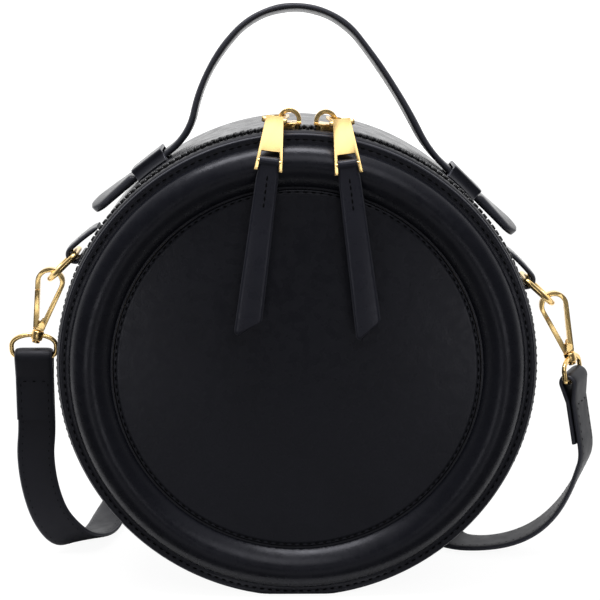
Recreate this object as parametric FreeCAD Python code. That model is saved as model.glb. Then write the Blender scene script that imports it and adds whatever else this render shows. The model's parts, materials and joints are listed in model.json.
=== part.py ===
import FreeCAD, Part
import math
import os

from FreeCAD import Vector

# A round leather bag with a top handle, a zip with two sliders and a clip-on shoulder strap.
# Millimetres, +Z up, the front faces -Y, the origin is on the table under the middle of the bag.

# Bag body
panel_diameter = 190.0
base_press = 1.2            # how far the two rims are pressed flat where the bag stands
gusset_depth = 69.6         # from flange face to flange face
gusset_proud = 1.2          # the gusset swells this far past the panels' edge
roll = 3.4                  # the round bag rests rolled clockwise by this angle
leather = 1.2               # thickness of the gusset, of a ring skin and of a board
flange_width = 7.0          # the gusset's turned-in edges, which carry the panels
lining = 0.6
layer_gap = 0.1             # between glued layers with round faces
overrun = 2.0               # how far a cutter passes the surface that it cuts

# Panels: a padded ring round a flat inlay
margin_thickness = 1.6
margin_width = 4.2
ring_width = 16.6           # from the margin to the groove
ring_rise = 5.5
ring_crest_share = 0.47     # place of the crest across the ring
shoulder_place_share = 0.36
shoulder_rise_share = 0.71
slope_place_share = 0.57
slope_drop_share = 0.30
groove_width = 0.8
inlay_thickness = 2.0
inlay_edge = 0.9            # bevel round the inlay
inlay_gap = 0.2

# Zip
zip_setback = 10.8          # from the front flange face to the middle of the zip
zip_half_angle = 112.0
zip_slot_half = 6.6
tape_thickness = 0.6
tape_edge = 1.3             # from the zip's middle to a tape's inner edge
tape_width = 7.7
tooth_pitch = 1.4          # from a tooth to the next one of the other row
tooth_thickness = 1.1
tooth_length = 3.5
tooth_reach = 0.5           # how far a closed tooth passes the middle
tooth_height = 1.9
seat_gap = 0.05             # between a tooth's flat foot and the round tape
stop_length = 3.0
stop_gap = 0.6

# Sliders
slider_spacing = 14.0       # between the two bodies' middles, along the zip
slider_shift = -1.6         # the two bodies' middle from the top of the rolled bag, along the zip
slider_length = 9.2
slider_tail_half = 4.4
slider_wide_half = 6.2
slider_nose_half = 3.4
slider_wide_share = 0.28    # the widest place, from the nose, as a share of the length
slider_wall = 0.9
channel_gap = 0.45
flange_gap = 0.6
post_length = 2.4
post_half = 0.8
post_inset = 0.4
part_width = 1.7            # how far each row is spread past the post
part_length = 3.6           # over which a row closes again
bridge_half = 4.5
bridge_height = 5.5
bridge_band = 1.7
bridge_width = 2.6

# Pulls
link_height = 2.1           # of the link's middle above the slider
link_thickness = 1.2
link_inner_half = 2.4
link_arm = 1.2
link_gap = 0.4
link_place = 1.2            # inner arm's near side from the slider's middle
link_splay = 2.2            # the link's free end leans outwards by this much
link_reach = 12.6           # from the zip's middle forward to the pin
link_ball = 1.2
ball_place = 3.7
# Half a ball's outline along and off the pin, as shares of its radius
ball_shares = [(-1.0, 0.0), (-1.0, 0.75), (-0.55, 1.0), (0.55, 1.0), (1.0, 0.75), (1.0, 0.0)]
pin_radius = 0.75
pin_gap = 0.1
pull_fan = 7.5              # angle by which a pull hangs outwards
pull_lean = 20.0            # angle of the plate off the vertical, resting on the ring
plate_thickness = 1.2
plate_eye = 1.5
plate_rise = 1.0            # the leaf's top edge above the pin
plate_gap = 0.7             # between the leaf, which hangs in front of the link's ends, and their balls
plate_top_half = 3.3
plate_length = 20.8
eye_half = 1.8
prong_half = 5.45
prong_width = 1.35
window_start = 13.0
window_half = 3.5
bar_place = 16.9
bar_radius = 0.8
bar_grip = 0.7              # how far the bar goes into each prong
tab_wall = 0.9
tab_gap = 0.2
tab_thickness = 2.4
tab_length = 69.5
tab_top_half = 3.5
tab_neck_length = 3.4
tab_shoulder_half = 4.3
tab_shoulder_length = 5.4
tab_end_half = 5.4
tab_slant = 6.0             # the end is cut at a slant by this much
tab_corner = 1.6

# Handle
handle_y = 9.0
handle_width = 15.0
handle_thickness = 3.4
handle_gap = 0.3
handle_rise = 141.5         # middle of the strap at the apex, above the bag's middle
handle_bow = 33.4           # radius of the apex
handle_turns = {-1: 31.0, 1: 11.0}    # angle by which each leg bows outwards
handle_sway = -0.5          # the apex from the bag's middle
handle_root = 20.0          # length of the stretch that flexes at each end
handle_hinge_share = 0.7    # place of the line that the handle swings about, along that stretch
handle_lean = 8.0
keeper_angle = 41.0
keeper_length = 16.4
keeper_wall = 1.4
keeper_foot = 3.0
keeper_room = 1.2           # over the strap inside a keeper
tongue_length = 19.0
tongue_thickness = 4.2
tongue_round = 5.0
tongue_gap = 0.9
tongue_lifts = {-1: 7.0, 1: 9.0}

# Rings and their tabs
ring_tab_angle = 69.7
ring_tab_outer = 4.1
ring_tab_hole = 2.0
ring_tab_width = 14.0
ring_tab_strip = 1.6
ring_tab_strip_length = 12.0
ring_wire = 2.5
ring_half = 8.8             # middle of the ring's limbs from its middle
ring_length = 16.0          # from the middle of the bar to the middle of the bow
ring_drops = {-1: 44.2, 1: 42.2}

# Swivel clasps
clasp_places = {-1: (-109.5, 98.6), 1: (116.5, 88.5)}
clasp_leans = {-1: 15.0, 1: 19.0}
clasp_half = 6.1
clasp_wire = 1.9
clasp_crown = 23.7          # centre of the round top above the swivel
clasp_thickness = 3.0
clasp_foot = 2.4
clasp_foot_half = 2.3
clasp_web = 7.4             # top of the solid body
clasp_web_half = 0.95
gate_reach = 15.4           # from the rivet to the gate's rounded end
gate_gap = 0.25
gate_split = 0.75
gate_split_top = 0.4
gate_tongue = 0.9
gate_eye = 1.45
gate_slot = 1.9
gate_slot_foot = 0.5
rivet_side = 1.0
rivet_height = 4.8
rivet_radius = 0.7
rivet_head = 1.25
rivet_head_height = 0.4
rivet_gap = 0.1
spring_radius = 1.25
spring_length = 0.4
stem_radius = 1.0
stem_head = 1.7
stem_head_height = 0.8
stem_length = 5.0
collar_radius = 2.5
collar_gap = 0.4
collar_bore_gap = 0.1
loop_width = 20.8
loop_height = 12.0
loop_wire = 2.2
loop_thickness = 2.4
loop_corner = 5.4
loop_foot_corner = 2.4      # at the bar that the strap is folded round
loop_shifts = {-1: -1.7, 1: 0.0}
loop_turns = {-1: 0.0, 1: 61.0}
loop_tilts = {-1: 0.0, 1: -10.0}

# Shoulder strap
strap_width = 16.0
strap_thickness = 2.4
flap_length = 27.0
flap_sides = {-1: 1, 1: -1}
hank_runs = 5
hank_run = 144.0
hank_lead = 16.0            # straight stretch of a run before the hank
fold_lead = 6.0             # straight stretch of a run after its folded end
least_turn = 0.01           # radians; a smaller turn of a run gets no arc
hank_pitch = 7.5
hank_first = 42.0
hank_y = 66.0
tie_thickness = 0.6         # a band round the hank, which lies on it
tie_width = 12.0
tie_gap = 0.2
arc_steps = 3
arc_share = 0.45
# Route points and width directions of the two runs, from the folded end to the hank
left_route = [
    (-112.4, 10.0, 45.5), (-110.8, 9.2, 31.0), (-106.6, 8.8, 17.6), (-100.0, 10.6, 8.6), (-93.4, 18.5, 4.0),
    (-87.5, 35.0, 1.9), (-85.5, 52.0, 3.6), (-87.0, 66.0, 7.6), (-88.5, 80.0, 8.8),
]
left_widths = [
    (1.0, 0.0, 0.0), (1.0, 0.0, 0.0), (1.0, 0.05, 0.1), (0.95, 0.1, 0.3), (0.95, -0.1, 0.25),
    (0.95, -0.3, 0.03), (0.97, -0.2, 0.15), (0.6, -0.1, 0.75), (0.0, 0.0, 1.0),
]
right_route = [
    (122.7, 9.8, 39.0), (119.2, 10.8, 29.5), (113.4, 11.8, 19.0), (104.8, 12.8, 10.2), (94.0, 13.8, 4.8),
    (81.0, 15.4, 2.3), (69.0, 19.0, 2.3), (60.5, 29.0, 7.4), (57.6, 43.0, 8.8),
]
right_widths = [
    (0.38, 0.92, 0.0), (0.26, 0.96, 0.0), (0.16, 0.98, 0.0), (0.1, 1.0, 0.0), (0.08, 1.0, 0.0),
    (0.15, 1.0, 0.0), (0.45, 0.9, 0.1), (0.5, 0.3, 0.75), (0.0, 0.0, 1.0),
]

# Worked out from the sizes above
panel_radius = panel_diameter / 2
bag_centre = panel_radius - base_press
half_depth = gusset_depth / 2
gusset_radius = panel_radius + gusset_proud
gusset_inner = gusset_radius - leather
flange_inner = panel_radius - flange_width
zip_y = zip_setback - half_depth
tape_outer = gusset_inner - layer_gap
tape_inner = tape_outer - tape_thickness
tooth_foot = tape_outer + seat_gap
tooth_top = tooth_foot + tooth_height
plate_floor = tape_inner - channel_gap - slider_wall
plate_roof = tooth_top + channel_gap
slider_top = plate_roof + slider_wall
slider_middle = roll + math.degrees(slider_shift / tooth_top)
slider_angle = math.degrees(slider_spacing / 2 / tooth_top)
plate_front = link_ball + plate_gap + plate_thickness / 2
keeper_half_angle = math.degrees(keeper_length / 2 / gusset_radius)
strap_seat = gusset_radius + handle_gap
strap_middle = strap_seat + handle_thickness / 2
SIDES = {-1: "left", 1: "right"}

ORIGIN = Vector(0, 0, 0)
AXIS_X = Vector(1, 0, 0)
AXIS_Y = Vector(0, 1, 0)
AXIS_Z = Vector(0, 0, 1)

pieces = {}


def face_of(points):
    """A flat face with straight edges through the points."""
    return Part.Face(Part.makePolygon(points + points[:1]))


def bent_wire(stretches):
    """A closed wire: each stretch is a start point, or a start point and the middle point of an arc."""
    edges = []
    for index, stretch in enumerate(stretches):
        start = stretch[0]
        end = stretches[(index + 1) % len(stretches)][0]
        if len(stretch) == 2:
            edges.append(Part.Arc(start, stretch[1], end).toShape())
        else:
            edges.append(Part.LineSegment(start, end).toShape())
    return Part.Wire(edges)


def turned(profile):
    """A whole turn of a profile of (radius, y) stretches about the bag's axis."""
    stretches = [[Vector(radius, y, 0) for radius, y in stretch] for stretch in profile]
    solid = Part.Face(bent_wire(stretches)).revolve(ORIGIN, AXIS_Y, 360)
    solid.translate(Vector(0, 0, bag_centre))
    return solid


def sector(corners, start, end):
    """Part of a turn about the bag's axis; corners are (radius, y), angles run clockwise from the top."""
    face = face_of([Vector(0, y, radius) for radius, y in corners])
    face.rotate(ORIGIN, AXIS_Y, start)
    solid = face.revolve(ORIGIN, AXIS_Y, end - start)
    solid.translate(Vector(0, 0, bag_centre))
    return solid


def around(shape, angle):
    """Take a shape built at the top of the bag, about its axis, to an angle clockwise from the top."""
    shape.rotate(ORIGIN, AXIS_Y, angle)
    shape.translate(Vector(0, 0, bag_centre))
    return shape


def block(x0, x1, y0, y1, z0, z1):
    """A box between two corners."""
    return Part.makeBox(x1 - x0, y1 - y0, z1 - z0, Vector(x0, y0, z0))


def slab(points, thickness):
    """A plate of an outline in the XZ plane, with its thickness centred on that plane."""
    face = face_of([Vector(x, -thickness / 2, z) for x, z in points])
    return face.extrude(Vector(0, thickness, 0))


def fused(solids):
    """One solid from overlapping or touching solids."""
    return solids[0].multiFuse(solids[1:]).removeSplitter()


def rim_face(radius, floor):
    """A disc about the bag's axis whose bottom is pressed flat at a height above the table."""
    drop = bag_centre - floor
    half = math.sqrt(radius ** 2 - drop ** 2)
    left = Vector(-half, 0, -drop)
    right = Vector(half, 0, -drop)
    return Part.Face(bent_wire([(left, Vector(0, 0, radius)), (right,)]))


def rim_prism(radius, floor, y0, y1):
    """A flat-bottomed disc carried from one depth to another."""
    face = rim_face(radius, floor)
    face.translate(Vector(0, y0, bag_centre))
    return face.extrude(Vector(0, y1 - y0, 0))


def add_panel(name, side):
    """Ring skin, foam, inlay, board and lining of one panel; side is -1 at the front and 1 at the rear."""

    def out(height):
        return side * (half_depth + height)

    foot = panel_radius - margin_width
    crest = foot - ring_width * ring_crest_share
    groove = foot - ring_width
    inner = groove - groove_width

    def hump(outer, lower, start, top, end):
        """Five points over the ring: its outer foot, shoulder, crest, slope and inner foot."""
        shoulder = outer + (crest - outer) * shoulder_place_share
        slope = crest + (lower - crest) * slope_place_share
        return [
            (outer, out(start)), (shoulder, out(start + (top - start) * shoulder_rise_share)),
            (crest, out(top)), (slope, out(top - (top - end) * slope_drop_share)), (lower, out(end)),
        ]

    top = margin_thickness + ring_rise
    outside = hump(foot, groove, margin_thickness, top, leather)
    under = hump(foot - leather, groove + leather, 0, top - leather, 0)
    skin = [((panel_radius, out(0)),), ((panel_radius, out(margin_thickness)),)]
    skin += [tuple(outside[:2]), tuple(outside[2:4]), (outside[4],)]
    skin += [((inner, out(leather)),), ((inner, out(0)),)]
    skin += [(point,) for point in reversed(under)]
    panel = turned(skin)
    below = block(-panel_radius, panel_radius, -gusset_depth, gusset_depth, -base_press - overrun, 0)
    pieces[name + "_panel"] = panel.cut(below)

    thick = leather + layer_gap
    filling = hump(foot - thick, groove + thick, 0, top - thick, 0)
    pieces[name + "_ring_foam"] = turned([(point,) for point in filling])

    edge = inner - inlay_gap
    pieces[name + "_inlay"] = turned([
        ((0, out(0)),), ((edge, out(0)),), ((edge, out(inlay_thickness - inlay_edge)),),
        ((edge - inlay_edge, out(inlay_thickness)),), ((0, out(inlay_thickness)),),
    ])
    disc = flange_inner - inlay_gap
    for layer, near, far in (("_board", 0, -leather), ("_lining", -leather, -leather - lining)):
        pieces[name + layer] = turned([
            ((0, out(near)),), ((disc, out(near)),), ((disc, out(far)),), ((0, out(far)),),
        ])


def add_gusset():
    """The side wall: a flat-bottomed hoop with turned-in flanges and the zip's slot, and its lining."""
    wall = rim_prism(gusset_radius, 0, -half_depth, half_depth)
    wall = wall.cut(rim_prism(gusset_inner, leather, leather - half_depth, half_depth - leather))
    mouth = Part.makeCylinder(flange_inner, gusset_depth + 2 * overrun,
                              Vector(0, -half_depth - overrun, bag_centre), AXIS_Y)
    slot = sector([
        (gusset_inner - overrun, zip_y - zip_slot_half), (gusset_radius + overrun, zip_y - zip_slot_half),
        (gusset_radius + overrun, zip_y + zip_slot_half), (gusset_inner - overrun, zip_y + zip_slot_half),
    ], roll - zip_half_angle, roll + zip_half_angle)
    pieces["gusset"] = wall.cut(mouth).cut(slot)

    start = zip_y + tape_edge + tape_width + layer_gap
    end = half_depth - leather - layer_gap
    outer = gusset_inner - layer_gap
    floor = leather + layer_gap
    inside = rim_prism(outer - lining, floor + lining, start - overrun, end + overrun)
    pieces["gusset_lining"] = rim_prism(outer, floor, start, end).cut(inside)


def row_shift(angle):
    """How far a row of teeth is spread at an angle: open between the sliders, closed behind them."""
    along = abs(math.radians(angle - slider_middle)) * tooth_top
    nose = slider_spacing / 2 - slider_length / 2
    open_to = nose + post_inset + post_length + tooth_thickness / 2
    progress = min(max((along - open_to) / part_length, 0), 1)
    return part_width * (1 - progress ** 2 * (3 - 2 * progress))


def add_zip():
    """Tapes under the slot's edges, two rows of separate teeth, and a stop at each end."""
    for name, side in (("front", -1), ("rear", 1)):
        near = zip_y + side * tape_edge
        far = near + side * tape_width
        pieces["zip_" + name + "_tape"] = sector(
            [(tape_inner, near), (tape_outer, near), (tape_outer, far), (tape_inner, far)],
            roll - zip_half_angle, roll + zip_half_angle)

    step = math.degrees(tooth_pitch / tooth_top)
    room = zip_half_angle - math.degrees((stop_length + stop_gap) / tooth_foot)
    count = int(2 * room / step)
    rows = {-1: [], 1: []}
    for index in range(count):
        side = -1 if index % 2 else 1
        angle = roll + (index - (count - 1) / 2) * step
        near = zip_y + side * (row_shift(angle) - tooth_reach)
        far = near + side * tooth_length
        half = tooth_thickness / 2
        tooth = block(-half, half, min(near, far), max(near, far), tooth_foot, tooth_top)
        rows[side].append(around(tooth, angle))
    pieces["zip_front_teeth"] = Part.makeCompound(rows[-1])
    pieces["zip_rear_teeth"] = Part.makeCompound(rows[1])

    stops = []
    for side in SIDES:
        half = tooth_length - tooth_reach
        angle = roll + side * (room + math.degrees((stop_gap + stop_length / 2) / tooth_foot))
        stop = block(-stop_length / 2, stop_length / 2, zip_y - half, zip_y + half, tooth_foot, tooth_top)
        stops.append(around(stop, angle))
    pieces["zip_end_stops"] = Part.makeCompound(stops)


def add_slider(side):
    """A slider: two plates joined by a post, side flanges, and a round bridge; its tail points outwards."""
    tail = slider_length / 2
    nose = -tail
    wide = nose + slider_length * slider_wide_share

    def plate(low, high):
        corners = [
            (tail, -slider_tail_half), (tail, slider_tail_half), (wide, slider_wide_half),
            (nose, slider_nose_half), (nose, -slider_nose_half), (wide, -slider_wide_half),
        ]
        return face_of([Vector(side * x, zip_y + y, low) for x, y in corners]).extrude(Vector(0, 0, high - low))

    def flange(edge):
        corners = [
            (tail, slider_tail_half), (wide, slider_wide_half), (wide, slider_wide_half - slider_wall),
            (tail, slider_tail_half - slider_wall),
        ]
        face = face_of([Vector(side * x, zip_y + edge * y, tape_outer + flange_gap) for x, y in corners])
        return face.extrude(Vector(0, 0, plate_roof - tape_outer - flange_gap))

    post_start = side * (nose + post_inset)
    post_end = side * (nose + post_inset + post_length)
    post = block(min(post_start, post_end), max(post_start, post_end), zip_y - post_half, zip_y + post_half,
                 plate_floor, slider_top)
    inner = bridge_half - bridge_band
    arch = Part.Face(bent_wire([
        (Vector(-bridge_half, zip_y - bridge_width / 2, slider_top),
         Vector(0, zip_y - bridge_width / 2, slider_top + bridge_height)),
        (Vector(bridge_half, zip_y - bridge_width / 2, slider_top),),
        (Vector(inner, zip_y - bridge_width / 2, slider_top),
         Vector(0, zip_y - bridge_width / 2, slider_top + bridge_height - bridge_band)),
        (Vector(-inner, zip_y - bridge_width / 2, slider_top),),
    ])).extrude(Vector(0, bridge_width, 0))
    body = fused([
        plate(plate_floor, plate_floor + slider_wall), plate(plate_roof, slider_top), flange(-1), flange(1),
        post, arch,
    ])
    pieces["slider_" + SIDES[side]] = around(body, slider_turn(side))


def slider_turn(side):
    """The place of a slider round the bag, as an angle clockwise from the top."""
    return slider_middle + side * slider_angle


def pin_frame(side):
    """The middle of a pull's pin, in the slider's own frame at the top of the bag."""
    across = side * (link_place + link_inner_half + link_splay)
    return Vector(across, zip_y - link_reach, slider_top + link_height)


def pin_tilt(side):
    """The angle between a pull's pin and its slider, so that the pull hangs fanned out by its angle."""
    return -side * pull_fan - slider_turn(side)


def add_link(side):
    """The U link: a bow behind the bridge's leg, two arms forward and a ball at each end for the pin."""
    pin = pin_frame(side)
    back = zip_y + bridge_width / 2 + link_gap + link_arm
    bow = pin.x - side * link_splay
    outer = link_inner_half + link_arm
    inner = link_inner_half
    corners = [
        (bow - outer, back), (bow - outer, zip_y), (pin.x - outer, pin.y), (pin.x - inner, pin.y),
        (bow - inner, zip_y), (bow - inner, back - link_arm), (bow + inner, back - link_arm), (bow + inner, zip_y),
        (pin.x + inner, pin.y), (pin.x + outer, pin.y), (bow + outer, zip_y), (bow + outer, back),
    ]
    low = pin.z - link_thickness / 2
    frame = face_of([Vector(x, y, low) for x, y in corners]).extrude(Vector(0, 0, link_thickness))
    balls = []
    for edge in SIDES:
        outline = [Vector(along * link_ball, 0, off * link_ball) for along, off in ball_shares]
        ball = face_of(outline).revolve(ORIGIN, AXIS_X, 360)
        ball.translate(Vector(edge * ball_place, 0, 0))
        ball.rotate(ORIGIN, AXIS_Y, pin_tilt(side))
        ball.translate(pin)
        balls.append(ball)
    return fused([frame] + balls)


def hang(shape, side, lean):
    """Lean a pull's piece, built hanging from its pin at the origin, and take it to its slider."""
    shape.rotate(ORIGIN, AXIS_X, -lean)
    shape.rotate(ORIGIN, AXIS_Y, pin_tilt(side))
    shape.translate(pin_frame(side))
    return around(shape, slider_turn(side))


def add_pull(side):
    """Link, pin, plate, bar and leather tab of one pull."""
    name = SIDES[side]
    angle = slider_turn(side)
    pin = pin_frame(side)
    pin_half = ball_place
    shaft = Part.makeCylinder(pin_radius, 2 * pin_half, Vector(-pin_half, 0, 0), AXIS_X)
    shaft.rotate(ORIGIN, AXIS_Y, pin_tilt(side))
    shaft.translate(pin)
    link = add_link(side).cut(shaft)
    pieces["pull_pin_" + name] = around(shaft, angle)
    pieces["pull_link_" + name] = around(link, angle)

    outline = [
        (-plate_top_half, plate_rise), (plate_top_half, plate_rise), (prong_half, -plate_length),
        (prong_half - prong_width, -plate_length), (window_half, -window_start), (-window_half, -window_start),
        (prong_width - prong_half, -plate_length), (-prong_half, -plate_length),
    ]
    leaf = slab(outline, plate_thickness)
    leaf.translate(Vector(0, -plate_front, 0))
    eye = Part.makeCylinder(plate_eye, 2 * eye_half, Vector(-eye_half, 0, 0), AXIS_X)
    web = block(-eye_half, eye_half, -plate_front, 0, -plate_eye, plate_rise)
    bore_half = eye_half + overrun
    bore = Part.makeCylinder(pin_radius + pin_gap, 2 * bore_half, Vector(-bore_half, 0, 0), AXIS_X)
    bar_share = (bar_place - window_start) / (plate_length - window_start)
    bar_half = window_half + (prong_half - prong_width - window_half) * bar_share + bar_grip
    bar = Part.makeCylinder(bar_radius, 2 * bar_half, Vector(-bar_half, -plate_front, -bar_place), AXIS_X)
    plate = fused([leaf, eye, web]).cut(bore).cut(bar)
    pieces["pull_plate_" + name] = hang(plate, side, pull_lean)
    pieces["pull_bar_" + name] = hang(bar, side, pull_lean)

    lean = math.radians(pull_lean)
    place = Vector(0, -bar_place * math.sin(lean) - plate_front * math.cos(lean),
                   plate_front * math.sin(lean) - bar_place * math.cos(lean))
    tip = tab_length
    high = tab_length - tab_slant
    sheet = slab([
        (-tab_top_half, 0), (tab_top_half, 0), (tab_top_half, -tab_neck_length),
        (tab_shoulder_half, -tab_shoulder_length), (tab_end_half, -high + tab_corner),
        (tab_end_half - tab_corner, -high), (tab_corner - tab_end_half, -tip), (-tab_end_half, tab_corner - tip),
        (-tab_shoulder_half, -tab_shoulder_length), (-tab_top_half, -tab_neck_length),
    ], tab_thickness)
    eye_radius = bar_radius + tab_gap
    hole_half = tab_top_half + overrun
    loop = Part.makeCylinder(eye_radius + tab_wall, 2 * tab_top_half, Vector(-tab_top_half, 0, 0), AXIS_X)
    hole = Part.makeCylinder(eye_radius, 2 * hole_half, Vector(-hole_half, 0, 0), AXIS_X)
    tab = fused([sheet, loop]).cut(hole)
    tab.translate(place)
    pieces["pull_tab_" + name] = hang(tab, side, 0)


def handle_side(side):
    """One side of the handle, from its apex's upright: a root arc, a leg on a wider arc, half of the bow."""
    start = math.radians(keeper_angle - keeper_half_angle + side * roll)
    exit_x = side * handle_sway - strap_middle * math.sin(start)
    exit_z = bag_centre + strap_middle * math.cos(start)
    centre_z = bag_centre + handle_rise - handle_bow
    turn = math.radians(handle_turns[side])
    slope = start + turn
    for _ in range(40):
        radius = handle_root / max(slope - start, handle_root / handle_rise)
        end_x = exit_x + radius * (math.sin(slope) - math.sin(start))
        end_z = exit_z + radius * (math.cos(start) - math.cos(slope))
        bow_x = -handle_bow * math.sin(slope - turn)
        bow_z = centre_z + handle_bow * math.cos(slope - turn)
        slope = math.atan2(bow_z - end_z, bow_x - end_x) + turn / 2
    bulge = math.hypot(bow_x - end_x, bow_z - end_z) / 2 * math.tan(turn / 4)
    leg_x = (end_x + bow_x) / 2 - bulge * math.sin(slope - turn / 2)
    leg_z = (end_z + bow_z) / 2 + bulge * math.cos(slope - turn / 2)
    middle = start + (slope - start) * handle_hinge_share
    bend_x = exit_x + radius * (math.sin(middle) - math.sin(start))
    bend_z = exit_z + radius * (math.cos(start) - math.cos(middle))
    return {
        "start": start, "slope": slope, "leg_slope": slope - turn / 2, "bow_slope": slope - turn,
        "radius": radius, "exit": (-side * exit_x, exit_z), "bend": (-side * bend_x, bend_z),
        "end": (-side * end_x, end_z), "leg": (-side * leg_x, leg_z), "bow": (-side * bow_x, bow_z),
    }


def handle_axis():
    """Two points of the line about which the handle swings, one in each of its flexing roots."""
    ends = [handle_side(side)["bend"] for side in SIDES]
    return [Vector(x + handle_sway, handle_y, z) for x, z in ends]


def add_handle():
    """The arched strap, its two flexing roots, the ends with their tongues, and the keepers."""
    left, right = (handle_side(side) for side in SIDES)
    half = handle_thickness / 2
    front = handle_y - handle_width / 2

    def offset(point, slope, side, distance):
        """Move a point of a leg away from the arch's inside."""
        x = side * abs(point[0]) + side * distance * math.sin(slope)
        return Vector(x + handle_sway, front, point[1] + distance * math.cos(slope))

    def beside(form, side, distance):
        """The three points of a leg's arc, from its root to the bow, away from the leg's middle line."""
        marks = (("end", "slope"), ("leg", "leg_slope"), ("bow", "bow_slope"))
        return [offset(form[spot], form[slope], side, distance) for spot, slope in marks]

    crown = bag_centre + handle_rise
    foot_left, leg_left, bow_left = beside(left, -1, half)
    foot_right, leg_right, bow_right = beside(right, 1, half)
    sole_left, shin_left, arch_left = beside(left, -1, -half)
    sole_right, shin_right, arch_right = beside(right, 1, -half)
    arch = Part.Face(bent_wire([
        (foot_left, leg_left), (bow_left, Vector(handle_sway, front, crown + half)), (bow_right, leg_right),
        (foot_right,), (sole_right, shin_right), (arch_right, Vector(handle_sway, front, crown - half)),
        (arch_left, shin_left), (sole_left,),
    ])).extrude(Vector(0, handle_width, 0))
    first, second = handle_axis()
    swing = second - first
    arch.rotate(first, swing, -handle_lean)
    pieces["handle_strap"] = arch

    for side, form in ((-1, left), (1, right)):
        name = SIDES[side]
        wires = []
        for step in range(arc_steps + 1):
            share = step / arc_steps
            slope = form["start"] + (form["slope"] - form["start"]) * share
            x = abs(form["exit"][0]) - form["radius"] * (math.sin(slope) - math.sin(form["start"]))
            z = form["exit"][1] + form["radius"] * (math.cos(form["start"]) - math.cos(slope))
            corners = [offset((x, z), slope, side, half), offset((x, z), slope, side, -half)]
            corners += [corner + Vector(0, handle_width, 0) for corner in reversed(corners)]
            wire = Part.makePolygon(corners + corners[:1])
            wire.rotate(first, swing, -handle_lean * share)
            wires.append(wire)
        pieces["handle_root_" + name] = Part.makeLoft(wires, True, True)

        middle = roll + side * keeper_angle
        near = middle - side * keeper_half_angle
        far = middle + side * (keeper_half_angle + math.degrees(tongue_gap / strap_seat))
        lane = [
            (strap_seat, front), (strap_seat + handle_thickness, front),
            (strap_seat + handle_thickness, front + handle_width), (strap_seat, front + handle_width),
        ]
        inside = sector(lane, min(near, far), max(near, far))
        reach = tongue_length - tongue_round
        tongue = Part.Face(bent_wire([
            (Vector(0, front, strap_seat),),
            (Vector(side * reach, front, strap_seat), Vector(side * tongue_length, handle_y, strap_seat)),
            (Vector(side * reach, front + handle_width, strap_seat),),
            (Vector(0, front + handle_width, strap_seat),),
        ])).extrude(Vector(0, 0, tongue_thickness))
        tongue.rotate(Vector(0, 0, strap_seat), AXIS_Y, -side * tongue_lifts[side])
        pieces["handle_end_" + name] = fused([inside, around(tongue, far)])

        inner = handle_width / 2 + handle_gap
        wall = inner + keeper_wall
        foot = wall + keeper_foot
        roof = strap_seat + handle_thickness + keeper_room
        hat = [
            (gusset_radius, -foot), (gusset_radius + keeper_wall, -foot), (gusset_radius + keeper_wall, -wall),
            (roof + keeper_wall, -wall), (roof + keeper_wall, wall), (gusset_radius + keeper_wall, wall),
            (gusset_radius + keeper_wall, foot), (gusset_radius, foot), (gusset_radius, inner), (roof, inner),
            (roof, -inner), (gusset_radius, -inner),
        ]
        pieces["handle_keeper_" + name] = sector(
            [(radius, handle_y + y) for radius, y in hat], middle - keeper_half_angle, middle + keeper_half_angle)


def ring_axis(side):
    """The middle of a ring's bar, where its leather tab holds it."""
    angle = math.radians(roll + side * ring_tab_angle)
    radius = gusset_radius + seat_gap + ring_tab_outer
    return Vector(radius * math.sin(angle), handle_y, bag_centre + radius * math.cos(angle))


def add_ring(side):
    """A leather tab sewn on the gusset, looped round the bar of a D-ring that hangs outwards."""
    name = SIDES[side]
    angle = roll + side * ring_tab_angle
    half = ring_tab_width / 2
    height = gusset_radius + seat_gap + ring_tab_outer
    loop = Part.makeCylinder(ring_tab_outer, ring_tab_width, Vector(0, handle_y - half, height), AXIS_Y)
    hole = Part.makeCylinder(ring_tab_hole, ring_tab_width + 2 * overrun,
                             Vector(0, handle_y - half - overrun, height), AXIS_Y)
    top = angle - side * math.degrees(ring_tab_strip_length / gusset_radius)
    strip = sector([
        (gusset_radius, handle_y - half), (gusset_radius + ring_tab_strip, handle_y - half),
        (gusset_radius + ring_tab_strip, handle_y + half), (gusset_radius, handle_y + half),
    ], min(top, angle), max(top, angle))
    pieces["ring_tab_" + name] = fused([around(loop.cut(hole), angle), strip])

    wire = ring_wire / 2
    straight = ring_length - ring_half
    faces = []
    for edge in (wire, -wire):
        width = ring_half + edge
        faces.append(Part.Face(bent_wire([
            (Vector(-edge, -width, -wire),),
            (Vector(straight, -width, -wire), Vector(ring_length + edge, 0, -wire)),
            (Vector(straight, width, -wire),),
            (Vector(-edge, width, -wire),),
        ])))
    ring = faces[0].cut(faces[1]).extrude(Vector(0, 0, ring_wire))
    drop = ring_drops[side]
    ring.rotate(ORIGIN, AXIS_Y, drop if side > 0 else 180 - drop)
    ring.translate(ring_axis(side))
    pieces["d_ring_" + name] = ring


def tangent_point(foot_half, foot, radius):
    """Where a line from a foot point touches the clasp's round top, on its right side."""
    away = math.hypot(foot_half, clasp_crown - foot)
    heading = math.atan2(clasp_crown - foot, -foot_half) - math.asin(radius / away)
    length = math.sqrt(away ** 2 - radius ** 2)
    return foot_half + length * math.cos(heading), foot + length * math.sin(heading)


def drop_face(foot_half, foot, radius):
    """The face of a drop shape in the XZ plane: a round top that narrows in straight lines to its foot."""
    x, z = tangent_point(foot_half, foot, radius)
    y = -clasp_thickness / 2
    return Part.Face(bent_wire([
        (Vector(foot_half, y, foot),),
        (Vector(x, y, z), Vector(0, y, clasp_crown + radius)),
        (Vector(-x, y, z),),
        (Vector(-foot_half, y, foot),),
    ]))


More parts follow.
